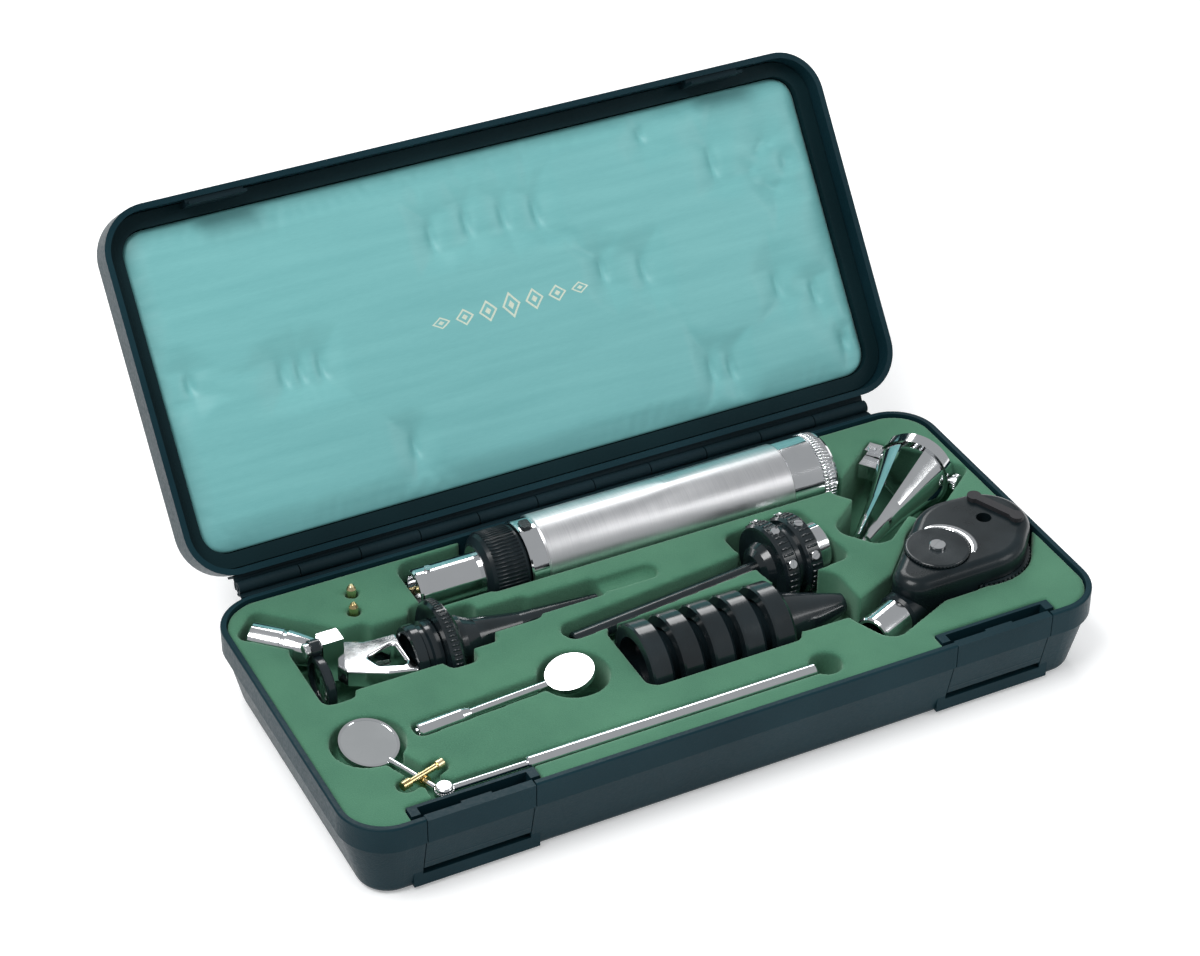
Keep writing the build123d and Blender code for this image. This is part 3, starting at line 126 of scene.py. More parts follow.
def leatherette(name, dark, light, shine, roughLow):
    # finely grained covering, more or less glossy
    material, tree, shader = startMaterial(name, Specular_IOR_Level=shine)
    space = objectSpace(tree)
    cells = addNode(tree, "ShaderNodeTexVoronoi", {"Vector": space, "Scale": 1500.0, "Randomness": 0.9})
    cloudy = noiseField(tree, space, 22.0, 3.0)
    fine = noiseField(tree, space, 900.0, 3.0)
    tree.links.new(mixColour(tree, spread(tree, cloudy, 0.0, 1.0), dark, light), shader.inputs["Base Color"])
    tree.links.new(spread(tree, fine, roughLow, roughLow + 0.14), shader.inputs["Roughness"])
    grain = calc(tree, "ADD", cells.outputs["Distance"], calc(tree, "MULTIPLY", fine, 0.5))
    bumpInto(tree, shader, grain, 0.25, 0.00012)
    return material


def flockedGreen():
    # short green fibres: soft speckle, strong sheen, no gloss
    material, tree, shader = startMaterial(
        "flockedGreen", Roughness=0.95, Sheen_Weight=0.45, Sheen_Roughness=0.5, Specular_IOR_Level=0.15
    )
    shader.inputs["Sheen Tint"].default_value = (0.55, 0.85, 0.65, 1)
    space = objectSpace(tree)
    fibres = noiseField(tree, space, 2600.0, 2.0)
    patches = noiseField(tree, space, 38.0, 3.0, 0.6)
    base = mixColour(tree, spread(tree, patches, 0.0, 1.0), (0.043, 0.138, 0.086), (0.066, 0.188, 0.115))
    speckled = mixColour(tree, spread(tree, fibres, 0.0, 0.45, 0.35, 0.75), base, (0.10, 0.26, 0.165))
    tree.links.new(speckled, shader.inputs["Base Color"])
    bumpInto(tree, shader, fibres, 0.5, 0.0003)
    return material


def chromePlate(name="chromePlate", tint=(0.86, 0.87, 0.88)):
    # polished plate with faint wiping marks
    material, tree, shader = startMaterial(name, Metallic=1.0)
    space = objectSpace(tree)
    marks = noiseField(tree, objectSpace(tree, (60, 900, 900)), 6.0, 3.0)
    haze = noiseField(tree, space, 120.0, 3.0)
    tree.links.new(mixColour(tree, haze, tuple(0.93 * c for c in tint), tint), shader.inputs["Base Color"])
    tree.links.new(spread(tree, haze, 0.05, 0.13), shader.inputs["Roughness"])
    bumpInto(tree, shader, marks, 0.04, 0.00005)
    return material


def brushedAluminium():
    # satin tube: fine turning marks run round it
    material, tree, shader = startMaterial("brushedAluminium", Metallic=1.0, Anisotropic=0.5)
    marks = noiseField(tree, objectSpace(tree, (5200, 60, 60)), 1.0, 4.0, 0.65)
    haze = noiseField(tree, objectSpace(tree), 60.0, 3.0)
    tree.links.new(
        mixColour(tree, spread(tree, marks, 0.0, 1.0), (0.74, 0.74, 0.755), (0.88, 0.88, 0.885)),
        shader.inputs["Base Color"],
    )
    rough = calc(tree, "ADD", spread(tree, marks, 0.26, 0.36), calc(tree, "MULTIPLY", haze, 0.06))
    tree.links.new(rough, shader.inputs["Roughness"])
    bumpInto(tree, shader, marks, 0.18, 0.00006)
    return material


def blackPlastic(name, roughLow, roughHigh, coat, shine):
    # moulded black plastic with faint flow clouds and dust
    dark, light = (0.005, 0.009, 0.011), (0.010, 0.018, 0.022)
    material, tree, shader = startMaterial(
        name, IOR=1.5, Coat_Weight=coat, Coat_Roughness=0.1, Specular_IOR_Level=shine
    )
    space = objectSpace(tree)
    clouds = noiseField(tree, space, 70.0, 4.0)
    specks = noiseField(tree, space, 1500.0, 2.0)
    tree.links.new(mixColour(tree, spread(tree, clouds, 0.0, 1.0), dark, light), shader.inputs["Base Color"])
    tree.links.new(spread(tree, clouds, roughLow, roughHigh), shader.inputs["Roughness"])
    bumpInto(tree, shader, calc(tree, "ADD", specks, clouds), 0.06, 0.00008)
    return material


def brassFinish():
    material, tree, shader = startMaterial("brassFinish", Metallic=1.0)
    haze = noiseField(tree, objectSpace(tree), 180.0, 4.0)
    tree.links.new(
        mixColour(tree, spread(tree, haze, 0.0, 1.0), (0.62, 0.47, 0.20), (0.83, 0.70, 0.42)),
        shader.inputs["Base Color"],
    )
    tree.links.new(spread(tree, haze, 0.14, 0.3), shader.inputs["Roughness"])
    bumpInto(tree, shader, haze, 0.08, 0.00005)
    return material


def clearGlass():
    material, tree, shader = startMaterial("clearGlass", IOR=1.5, Transmission_Weight=1.0)
    smudge = noiseField(tree, objectSpace(tree), 140.0, 3.0)
    tree.links.new(
        mixColour(tree, smudge, (0.90, 0.95, 0.95), (0.97, 0.99, 0.99)), shader.inputs["Base Color"]
    )
    tree.links.new(spread(tree, smudge, 0.0, 0.05), shader.inputs["Roughness"])
    return material


def softRubber():
    material, tree, shader = startMaterial("softRubber", IOR=1.45)
    grain = noiseField(tree, objectSpace(tree), 1100.0, 3.0)
    tree.links.new(
        mixColour(tree, grain, (0.010, 0.010, 0.012), (0.03, 0.03, 0.034)), shader.inputs["Base Color"]
    )
    tree.links.new(spread(tree, grain, 0.55, 0.75), shader.inputs["Roughness"])
    bumpInto(tree, shader, grain, 0.2, 0.00015)
    return material


ornament = {
    "span": 31 * mm, "pitch": 8.6 * mm, "height": 4.6 * mm, "width": 3.4 * mm,
    "outlineFrom": 0.74, "middleTo": 0.34,   # shares of a lozenge's half width
}


def satinCloth():
    # turquoise satin: crosswise threads, soft lustre, and a pale foil ornament of lozenges
    material, tree, shader = startMaterial(
        "satinCloth", Sheen_Weight=0.35, Sheen_Roughness=0.35, Specular_IOR_Level=0.5
    )
    shader.inputs["Sheen Tint"].default_value = (0.75, 0.95, 0.95, 1)
    flat = addNode(tree, "ShaderNodeUVMap", uv_map="flat")
    axes = addNode(tree, "ShaderNodeSeparateXYZ", {"Vector": flat.outputs["UV"]})
    across, down = axes.outputs["X"], axes.outputs["Y"]
    threads = stretched(tree, flat.outputs["UV"], (320.0, 6200.0, 1.0))
    weave = noiseField(tree, threads, 1.0, 2.0)
    slub = noiseField(tree, stretched(tree, flat.outputs["UV"], (18.0, 260.0, 1.0)), 1.0, 3.0)
    tone = calc(tree, "ADD", calc(tree, "MULTIPLY", weave, 0.4), calc(tree, "MULTIPLY", slub, 0.6))
    shade = spread(tree, tone, 0.0, 1.0, 0.35, 0.65)
    cloth = mixColour(tree, shade, (0.150, 0.420, 0.425), (0.185, 0.480, 0.480))
    # one row of lozenges, tallest in the middle
    pitch = ornament["pitch"]
    wrapped = addNode(tree, "ShaderNodeMath", {0: across, 1: pitch / 2, 2: -pitch / 2}, operation="WRAP")
    cell = calc(tree, "ABSOLUTE", wrapped.outputs[0])
    share = calc(tree, "DIVIDE", calc(tree, "ABSOLUTE", across), ornament["span"] * 1.5)
    tall = calc(tree, "MULTIPLY", calc(tree, "SUBTRACT", 1.0, share), ornament["height"])
    lozenge = calc(
        tree, "ADD", calc(tree, "DIVIDE", cell, ornament["width"]),
        calc(tree, "DIVIDE", calc(tree, "ABSOLUTE", down), tall),
    )
    beyondInner = calc(tree, "GREATER_THAN", lozenge, ornament["outlineFrom"])
    outline = calc(tree, "MULTIPLY", calc(tree, "LESS_THAN", lozenge, 1.0), beyondInner)
    middle = calc(tree, "LESS_THAN", lozenge, ornament["middleTo"])
    inSpan = calc(tree, "LESS_THAN", calc(tree, "ABSOLUTE", across), ornament["span"])
    worn = spread(tree, noiseField(tree, threads, 3.0, 2.0), 0.35, 1.0, 0.35, 0.5)
    foil = calc(tree, "MULTIPLY", calc(tree, "MULTIPLY", calc(tree, "ADD", outline, middle), inSpan), worn)
    tree.links.new(mixColour(tree, foil, cloth, (0.72, 0.76, 0.62)), shader.inputs["Base Color"])
    tree.links.new(calc(tree, "MULTIPLY", foil, 0.35), shader.inputs["Metallic"])
    tree.links.new(spread(tree, weave, 0.40, 0.50), shader.inputs["Roughness"])
    bumpInto(tree, shader, weave, 0.10, 0.00008)
    return material


finishes = {
    "caseShell": leatherette(
        "caseShell", (0.005, 0.022, 0.030), (0.009, 0.032, 0.042), shine=0.08, roughLow=0.30
    ),
    "frameCovering": leatherette(
        "frameCovering", (0.003, 0.015, 0.019), (0.005, 0.022, 0.027), shine=0.10, roughLow=0.5
    ),
    "hingePaint": leatherette(
        "hingePaint", (0.003, 0.012, 0.016), (0.006, 0.018, 0.024), shine=0.12, roughLow=0.55
    ),
    "flock": flockedGreen(),
    "chrome": chromePlate(),
    "mirror": chromePlate("mirrorSilver", (0.93, 0.95, 0.95)),
    "aluminium": brushedAluminium(),
    "gloss": blackPlastic("glossBlack", 0.14, 0.24, coat=0.3, shine=0.5),
    "satinBlack": blackPlastic("satinBlack", 0.26, 0.38, coat=0.15, shine=0.22),
    "brass": brassFinish(),
    "glass": clearGlass(),
    "rubber": softRubber(),
    "satin": satinCloth(),
}
slotFinish = {
    "case_shell": "caseShell", "hinge": "hingePaint", "flock": "flock", "satin": "satin",
    "satin_tube": "aluminium", "chrome": "chrome", "brass": "brass", "black_plastic": "gloss",
    "rubber": "rubber", "glass": "glass", "mirror": "mirror",
}
# parts whose finish differs from the rest of their slot
nodeFinish = {
    "lining_frame": "frameCovering", "ophthalmoscope_back": "satinBlack",
    "ophthalmoscope_front": "satinBlack", "rheostat_ring": "satinBlack",
}
for part in frame["record"]["subparts"]:
    name = part["node"]
    finish = nodeFinish.get(name, slotFinish[part["material_slot"]])
    mesh = nodes[name].data
    mesh.materials.clear()
    mesh.materials.append(finishes[finish])
print("materials ready:", len(finishes))


# mesh helpers

def addPiece(name, mesh, finish, body):
    piece = bpy.data.objects.new(name, mesh)
    bpy.context.scene.collection.objects.link(piece)
    mesh.materials.clear()
    mesh.materials.append(finishes[finish])
    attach(piece, body)
    return piece


def meshFrom(name, vertices, faces, smooth=True):
    mesh = bpy.data.meshes.new(name)
    mesh.from_pydata([tuple(v) for v in vertices], [], faces)
    mesh.validate()
    for polygon in mesh.polygons:
        polygon.use_smooth = smooth
    return mesh


def settle(obj):
    # the evaluated shape becomes the object's own mesh, and its modifiers go
    bpy.context.view_layer.update()
    graph = bpy.context.evaluated_depsgraph_get()
    mesh = bpy.data.meshes.new_from_object(obj.evaluated_get(graph))
    obj.modifiers.clear()
    obj.data = mesh
    return mesh


def copyOfNode(name):
    # a merged copy of a CAD node's mesh, facing outwards
    mesh = nodes[name].data.copy()
    work = bmesh.new()
    work.from_mesh(mesh)
    bmesh.ops.remove_doubles(work, verts=work.verts, dist=1e-6)
    bmesh.ops.recalc_face_normals(work, faces=work.faces)
    work.to_mesh(mesh)
    work.free()
    return mesh


# tray: the CAD block with softened, flocked edges

tray = {"voxel": 0.8 * mm, "smoothing": 0.5, "smoothRounds": 5, "keepShare": 0.42}


def buildTray():
    mesh = copyOfNode("tray")
    obj = bpy.data.objects.new("flockedTray", mesh)
    bpy.context.scene.collection.objects.link(obj)
    remesh = obj.modifiers.new("even", "REMESH")
    remesh.mode = "VOXEL"
    remesh.voxel_size = tray["voxel"]
    smooth = obj.modifiers.new("soften", "SMOOTH")
    smooth.factor = tray["smoothing"]
    smooth.iterations = tray["smoothRounds"]
    thin = obj.modifiers.new("thin", "DECIMATE")
    thin.ratio = tray["keepShare"]
    settle(obj)
    for polygon in obj.data.polygons:
        polygon.use_smooth = True
    obj.data.materials.clear()
    obj.data.materials.append(finishes["flock"])
    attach(obj, "case")
    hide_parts("tray")
    print("tray:", len(obj.data.polygons), "faces")


buildTray()

# lid lining: padded satin, tacked down along short stitched lines

satin = {
    "border": 5.0 * mm, "corner": 8.7 * mm, "edgeGap": 0.1 * mm, "step": 1.5 * mm,
    "edgeHeight": 2.4 * mm, "startHeight": 3.4 * mm, "tackHeight": 0.6 * mm, "topHeight": 5.5 * mm,
    "tackReach": 0.75 * mm, "ripple": 0.12 * mm, "backHeight": 0.1 * mm, "spare": 0.012, "frames": 24,
    "lift": 6.0, "mass": 0.15, "stretch": 12, "shear": 6, "bend": 0.15, "drift": 1.0 * mm,
    "fill": 0.5, "keep": 0.3,
}
# middle of each tack line and half its length, across and down the lid
tackLines = (
    (-20.0, -29.4, 6.0), (-6.4, -31.4, 6.0), (6.3, -30.2, 6.0), (19.1, -28.9, 6.0),
    (-83.6, 3.2, 5.0), (-76.5, 3.3, 5.0), (-69.4, 3.3, 5.0), (-45.0, 37.2, 4.5), (-115.3, -1.6, 4.0),
    (37.3, -4.1, 5.5), (51.4, -0.7, 6.0), (64.0, -45.6, 3.0), (87.5, -30.6, 6.5), (99.3, 16.4, 5.5),
    (112.8, 22.6, 5.5), (66.6, 38.7, 5.5), (73.6, 40.4, 5.5), (118.5, 42.0, 4.0),
)
tackRing = {"place": (108.5, -24.7), "reach": 7.5, "squat": 0.8, "pull": 0.6}   # lozenge of tacks


def lidFrame():
    # the lining board's own axes: across, down the lid, and out of its padded face
    board = np.array([v.co for v in nodes["lid_lining"].data.vertices], float)
    middle = board.mean(axis=0)
    normal = np.linalg.eigh(np.cov((board - middle).T))[1][:, 0]
    normal *= -np.sign(normal[1])     # towards the tray side
    across = np.array((1.0, 0.0, 0.0))
    down = np.cross(across, normal)
    face = (board @ normal).max()
    middle = (board.max(axis=0) + board.min(axis=0)) / 2
    return middle + normal * (face - middle @ normal), across, down / np.linalg.norm(down), normal


def roundCorner(x, y, halfX, halfY, radius):
    # a square grid's corner squares become quarter discs
    dx, dy = (abs(x) - halfX + radius) / radius, (abs(y) - halfY + radius) / radius
    if dx <= 0 or dy <= 0:
        return x, y
    newX = halfX - radius + radius * dx * math.sqrt(1 - dy * dy / 2)
    newY = halfY - radius + radius * dy * math.sqrt(1 - dx * dx / 2)
    return math.copysign(newX, x), math.copysign(newY, y)


def tackDistance(x, y):
    # how far the nearest tack is, and how deep it pulls there: a line is deepest in its middle
    nearest, depth = 1.0, 1.0
    for tackX, tackY, half in tackLines:
        alongLine = max(-half * mm, min(half * mm, y - tackY * mm))
        reach = math.hypot(x - tackX * mm, y - tackY * mm - alongLine)
        if reach < nearest:
            nearest, depth = reach, 1 - (alongLine / (half * mm)) ** 2
    ringX, ringY = tackRing["place"]
    spoke = abs(x - ringX * mm) + abs(y - ringY * mm) * tackRing["squat"]
    ringReach = abs(spoke - tackRing["reach"] * mm) * 0.7 + 0.5 * mm
    return (ringReach, tackRing["pull"]) if ringReach < nearest else (nearest, depth)


def satinSheet(halfX, halfY):
    # flat sheet with its edge and tacks held, ready for the cloth to fill out between them
    countX, countY = round(2 * halfX / satin["step"]), round(2 * halfY / satin["step"])
    vertices, held, flatPlaces = [], [], []
    for row in range(countY + 1):
        for column in range(countX + 1):
            squareX, squareY = halfX * (2 * column / countX - 1), halfY * (2 * row / countY - 1)
            x, y = roundCorner(squareX, squareY, halfX, halfY, satin["corner"])
            onEdge = row in (0, countY) or column in (0, countX)
            reach, depth = tackDistance(x, y)
            tacked = reach < satin["tackReach"]
            waves = math.sin(x * 90 + y * 40) + math.sin(x * 37 - y * 110 + 1.3)
            ripple = satin["ripple"] * waves
            height = satin["startHeight"] + ripple
            if onEdge:
                height = satin["edgeHeight"]
            elif tacked:
                height = satin["tackHeight"] + (satin["startHeight"] - satin["tackHeight"]) * (1 - depth)
            vertices.append((x, y, height))
            flatPlaces.append((x, y))
            held.append(onEdge or tacked)
    wide = countX + 1
    faces = [
        (first, first + 1, first + wide + 1, first + wide)
        for row in range(countY) for first in range(row * wide, row * wide + countX)
    ]
    mesh = meshFrom("satinPadding", vertices, faces)
    flat = mesh.uv_layers.new(name="flat")
    for loop in mesh.loops:
        flat.data[loop.index].uv = flatPlaces[loop.vertex_index]
    return mesh, held


def fillOut(obj, held):
    group = obj.vertex_groups.new(name="held")
    group.add([index for index, fixed in enumerate(held) if fixed], 1.0, "REPLACE")
    start = np.array([v.co for v in obj.data.vertices], float)
    cloth = obj.modifiers.new("fill", "CLOTH")
    cloth.settings.quality = 5
    cloth.settings.mass = satin["mass"]
    cloth.settings.tension_stiffness = satin["stretch"]
    cloth.settings.compression_stiffness = satin["stretch"]
    cloth.settings.shear_stiffness = satin["shear"]
    cloth.settings.bending_stiffness = satin["bend"]
    cloth.settings.vertex_group_mass = "held"
    cloth.settings.shrink_min = -satin["spare"]
    cloth.collision_settings.use_collision = False
    cloth.point_cache.frame_start = 1
    cloth.point_cache.frame_end = satin["frames"]
    scene = bpy.context.scene
    gravity = scene.gravity.copy()
    scene.gravity = (0, 0, satin["lift"])
    for step in range(1, satin["frames"] + 1):
        scene.frame_set(step)
    settle(obj)
    scene.frame_set(1)
    scene.gravity = gravity
    moved = np.array([v.co for v in obj.data.vertices], float)
    sideways = np.clip(moved[:, :2] - start[:, :2], -satin["drift"], satin["drift"])
    height = np.clip(moved[:, 2], satin["tackHeight"], satin["topHeight"])
    shaped = np.column_stack((start[:, :2] + sideways, height))
    obj.data.vertices.foreach_set("co", shaped.astype(np.float32).ravel())
    print("satin heights, mm:", round(height.min() / mm, 2), "to", round(height.max() / mm, 2))


def buildSatin():
    origin, across, down, normal = lidFrame()
    lowX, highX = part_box("lining_frame")[0].x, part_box("lining_frame")[1].x
    rim = np.array([v.co for v in nodes["lining_frame"].data.vertices], float) @ down
    halfX = (highX - lowX) / 2 - satin["border"] - satin["edgeGap"]
    halfY = (rim.max() - rim.min()) / 2 - satin["border"] - satin["edgeGap"]
    mesh, held = satinSheet(halfX, halfY)
    obj = bpy.data.objects.new("satinPadding", mesh)
    bpy.context.scene.collection.objects.link(obj)
    fillOut(obj, held)
    smooth = obj.modifiers.new("relax", "SMOOTH")
    smooth.factor, smooth.iterations = 0.5, 2
    finer = obj.modifiers.new("finer", "SUBSURF")
    finer.levels = finer.render_levels = 1
    settle(obj)
    work = bmesh.new()
    work.from_mesh(obj.data)
    border = [edge for edge in work.edges if edge.is_boundary]
    raised = bmesh.ops.extrude_edge_only(work, edges=border)["geom"]
    for vertex in raised:
        if isinstance(vertex, bmesh.types.BMVert):
            vertex.co.z = satin["backHeight"]
    openEdges = [edge for edge in work.edges if edge.is_boundary]
    back = bmesh.ops.contextual_create(work, geom=openEdges)["faces"]
    bmesh.ops.triangulate(work, faces=back)
    axes = Matrix.Translation(origin) @ Matrix((across, down, normal)).transposed().to_4x4()
    bmesh.ops.transform(work, matrix=axes, verts=work.verts)
    bmesh.ops.recalc_face_normals(work, faces=work.faces)
    work.to_mesh(obj.data)
    work.free()
    for polygon in obj.data.polygons:
        polygon.use_smooth = True
    obj.vertex_groups.clear()
    obj.data.materials.clear()
    obj.data.materials.append(finishes["satin"])
    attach(obj, "lid")
    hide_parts("lid_lining")
    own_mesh(obj)
    print("satin:", len(obj.data.polygons), "faces")


buildSatin()

# dark strips under the knuckles, one on each half, that close the hinge against the light

shield = {"inner": 2.35 * mm, "thick": 0.4 * mm, "wallReach": 3.9 * mm, "from": -10, "to": 60, "steps": 10}


def shieldStrip(name, body, towardsWall, away):
    # a round trough beside the knuckles, with a flat run to the wall; both directions are unit vectors
    low, high = (Vector(corner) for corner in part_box("hinge_pin"))
    axis = (low + high) / 2
    angles = [
        math.radians(shield["from"] + (shield["to"] - shield["from"]) * step / shield["steps"])
        for step in range(shield["steps"] + 1)
    ]
    outer = shield["inner"] + shield["thick"]
    outline = [(shield["inner"] * math.sin(turn), shield["inner"] * math.cos(turn)) for turn in angles]
    wallHeight = outline[-1][1]
    outline += [(shield["wallReach"], wallHeight), (shield["wallReach"], wallHeight + shield["thick"])]
    outline += [(outer * math.sin(turn), outer * math.cos(turn)) for turn in reversed(angles)]
    vertices = [
        (x, *(axis + towardsWall * across + away * along).yz)
        for x in (low.x, high.x) for across, along in outline
    ]
    count = len(outline)
    faces = [
        (index, (index + 1) % count, (index + 1) % count + count, index + count) for index in range(count)
    ]
    faces += [tuple(range(count)), tuple(range(count, 2 * count))]
    mesh = meshFrom(name, vertices, faces)
    work = bmesh.new()
    work.from_mesh(mesh)
    bmesh.ops.triangulate(work, faces=[face for face in work.faces if len(face.verts) > 4])
    bmesh.ops.recalc_face_normals(work, faces=work.faces)
    work.to_mesh(mesh)
    work.free()
    addPiece(name, mesh, "hingePaint", body)


def buildShields():
    _, _, down, normal = lidFrame()
    shieldStrip("hingeShieldBase", "case", Vector((0, -1, 0)), Vector((0, 0, -1)))
    shieldStrip("hingeShieldLid", "lid", Vector(-down), Vector(-normal))
    print("hinge shields: 2")


buildShields()

# knurls: one tree lays ridges round a ring, and each ring is placed from its own part

def ringTree():
    tree = bpy.data.node_groups.new("ridgeRing", "GeometryNodeTree")
    sockets = {}
    for name, kind in (
        ("Count", "NodeSocketInt"), ("Radius", "NodeSocketFloat"), ("Length", "NodeSocketFloat"),
        ("Ridge", "NodeSocketFloat"), ("Material", "NodeSocketMaterial"),
    ):
        sockets[name] = tree.interface.new_socket(name=name, in_out="INPUT", socket_type=kind).identifier
    tree.interface.new_socket(name="Geometry", in_out="OUTPUT", socket_type="NodeSocketGeometry")
    given = tree.nodes.new("NodeGroupInput").outputs
    ring = addNode(tree, "GeometryNodeMeshCircle", {"Vertices": given["Count"], "Radius": given["Radius"]})
    ridge = addNode(
        tree, "GeometryNodeMeshCylinder", {"Vertices": 8, "Radius": given["Ridge"], "Depth": given["Length"]}
    )
    placed = addNode(
        tree, "GeometryNodeInstanceOnPoints",
        {"Points": ring.outputs["Mesh"], "Instance": ridge.outputs["Mesh"]},
    )
    real = addNode(tree, "GeometryNodeRealizeInstances", {"Geometry": placed.outputs["Instances"]})
    painted = addNode(
        tree, "GeometryNodeSetMaterial", {"Geometry": real.outputs["Geometry"], "Material": given["Material"]}
    )
    addNode(tree, "NodeGroupOutput", {"Geometry": painted.outputs["Geometry"]})
    return tree, sockets


ridgeTree, ridgeSockets = ringTree()


def axisMatrix(place, direction, turn=0.0):
    aim = Vector(direction).normalized().to_track_quat("Z", "Y").to_matrix().to_4x4()
    return Matrix.Translation(place) @ aim @ Matrix.Rotation(turn, 4, "Z")


def ridgeRing(name, place, direction, finish, body, slotName, count, radius, length, ridge, forward=0.0):
    obj = bpy.data.objects.new(name, bpy.data.meshes.new(name))
    bpy.context.scene.collection.objects.link(obj)
    maker = obj.modifiers.new("ridges", "NODES")
    maker.node_group = ridgeTree
    values = {
        "Count": count, "Radius": radius * mm, "Length": length * mm, "Ridge": ridge * mm,
        "Material": finishes[finish],
    }
    for key, value in values.items():
        maker[ridgeSockets[key]] = value
    mesh = settle(obj)
    mesh.name = name
    mesh.transform(axisMatrix(place + direction * forward * mm, direction))
    for polygon in mesh.polygons:
        polygon.use_smooth = len(polygon.vertices) == 4
    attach(obj, body)


def middleOf(name):
    low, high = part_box(name)
    return (low + high) / 2


def heading(degreesRound):
    return Vector((math.cos(math.radians(degreesRound)), math.sin(math.radians(degreesRound)), 0))


# headings of the instruments that lie at an angle, in degrees round from +X
lieAt = {"wand": 5.9, "eye": 23.0, "thumb": -53.0}
wandTip = {"x": -31.0 * mm, "y": 0.8 * mm, "frontRib": 77.0 * mm, "rearRib": 86.7 * mm}
# for each knurl, in mm: how many ridges, the ring's radius, a ridge's length and its radius
knurls = {
    "rheostatKnurl": {"count": 60, "radius": 12.55, "length": 10.4, "ridge": 0.42, "forward": 0.5},
    "capKnurl": {"count": 72, "radius": 13.66, "length": 4.2, "ridge": 0.34, "forward": -4.2},
    "wandFrontKnurl": {"count": 40, "radius": 14.3, "length": 3.6, "ridge": 0.5},
    "wandRearKnurl": {"count": 40, "radius": 13.7, "length": 3.8, "ridge": 0.5},
    "wheelKnurl": {"count": 72, "radius": 20.15, "length": 2.7, "ridge": 0.45},
    "dialKnurl": {"count": 56, "radius": 10.42, "length": 1.1, "ridge": 0.3, "forward": 0.9},
    "discKnurl": {"count": 64, "radius": 15.95, "length": 2.6, "ridge": 0.4, "forward": 2.5},
    "thumbKnurl": {"count": 22, "radius": 2.75, "length": 1.7, "ridge": 0.24, "forward": 0.5},
    "clampKnurl": {"count": 24, "radius": 2.76, "length": 3.2, "ridge": 0.22, "forward": -0.4},
}


def buildKnurls():
    alongX, upward = Vector((1, 0, 0)), Vector((0, 0, 1))
    wand, thumb = heading(lieAt["wand"]), heading(lieAt["thumb"])
    tip = Vector((wandTip["x"], wandTip["y"], middleOf("illuminator_tube").z))
    cap, disc = middleOf("end_cap"), middleOf("fitted_speculum")
    capEnd = Vector((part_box("end_cap")[1].x, cap.y, cap.z))
    discStart = Vector((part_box("speculum_ring")[1].x, disc.y, disc.z))
    rows = (
        ("rheostatKnurl", middleOf("rheostat_ring"), alongX, "satinBlack", "rheostat", "black_plastic"),
        ("capKnurl", capEnd, alongX, "chrome", "cap", "chrome"),
        ("wandFrontKnurl", tip + wand * wandTip["frontRib"], wand, "gloss", "illuminator", "black_plastic"),
        ("wandRearKnurl", tip + wand * wandTip["rearRib"], wand, "gloss", "illuminator", "black_plastic"),
        ("wheelKnurl", middleOf("lens_wheel"), upward, "gloss", "wheel", "black_plastic"),
        ("dialKnurl", middleOf("aperture_dial"), upward, "gloss", "dial", "black_plastic"),
        ("discKnurl", discStart, alongX, "gloss", "large_speculum", "black_plastic"),
        ("thumbKnurl", middleOf("nasal_thumbscrew"), thumb, "chrome", "nasal_screw", "chrome"),
        ("clampKnurl", middleOf("mirror_clamp"), upward, "chrome", "throat_mirror", "chrome"),
    )
    for name, place, direction, finish, body, slotName in rows:
        ridgeRing(name, place, direction, finish, body, slotName, **knurls[name])
    print("knurled rings:", len(rows))


buildKnurls()

# slotted screw heads, placed from the plain CAD ones

screw = {
    "rim": 28, "segments": 14, "slotShare": 0.18, "slotDepth": 0.4, "halfFrom": 0.3,
    "chamferIn": 0.94, "chamferDown": 0.12,   # shares of the head's radius and height
}
# for each head, in mm: its radius and height, and how far its foot is sunk; its slot's turn in radians
heads = {
    "wand": {"radius": 1.5, "height": 1.15, "sunk": 0.6, "turn": 0.7},
    "dial": {"radius": 2.6, "height": 1.05, "sunk": 0.9, "turn": 0.5},
    "pivot": {"radius": 2.4, "height": 1.0, "sunk": 0.9, "turn": 0.9},
}


def shells(name):
    # the separate solids of a node, each as its points
    work = bmesh.new()
    work.from_mesh(nodes[name].data)
    bmesh.ops.remove_doubles(work, verts=work.verts, dist=1e-6)
    unseen, found = set(work.verts), []
    while unseen:
        queue, points = [unseen.pop()], []
        while queue:
            vertex = queue.pop()
            points.append(tuple(vertex.co))
            for edge in vertex.link_edges:
                other = edge.other_vert(vertex)
                if other in unseen:
                    unseen.remove(other)
                    queue.append(other)
        found.append(np.array(points))
    work.free()
    return sorted(found, key=lambda points: tuple(points.mean(axis=0)))


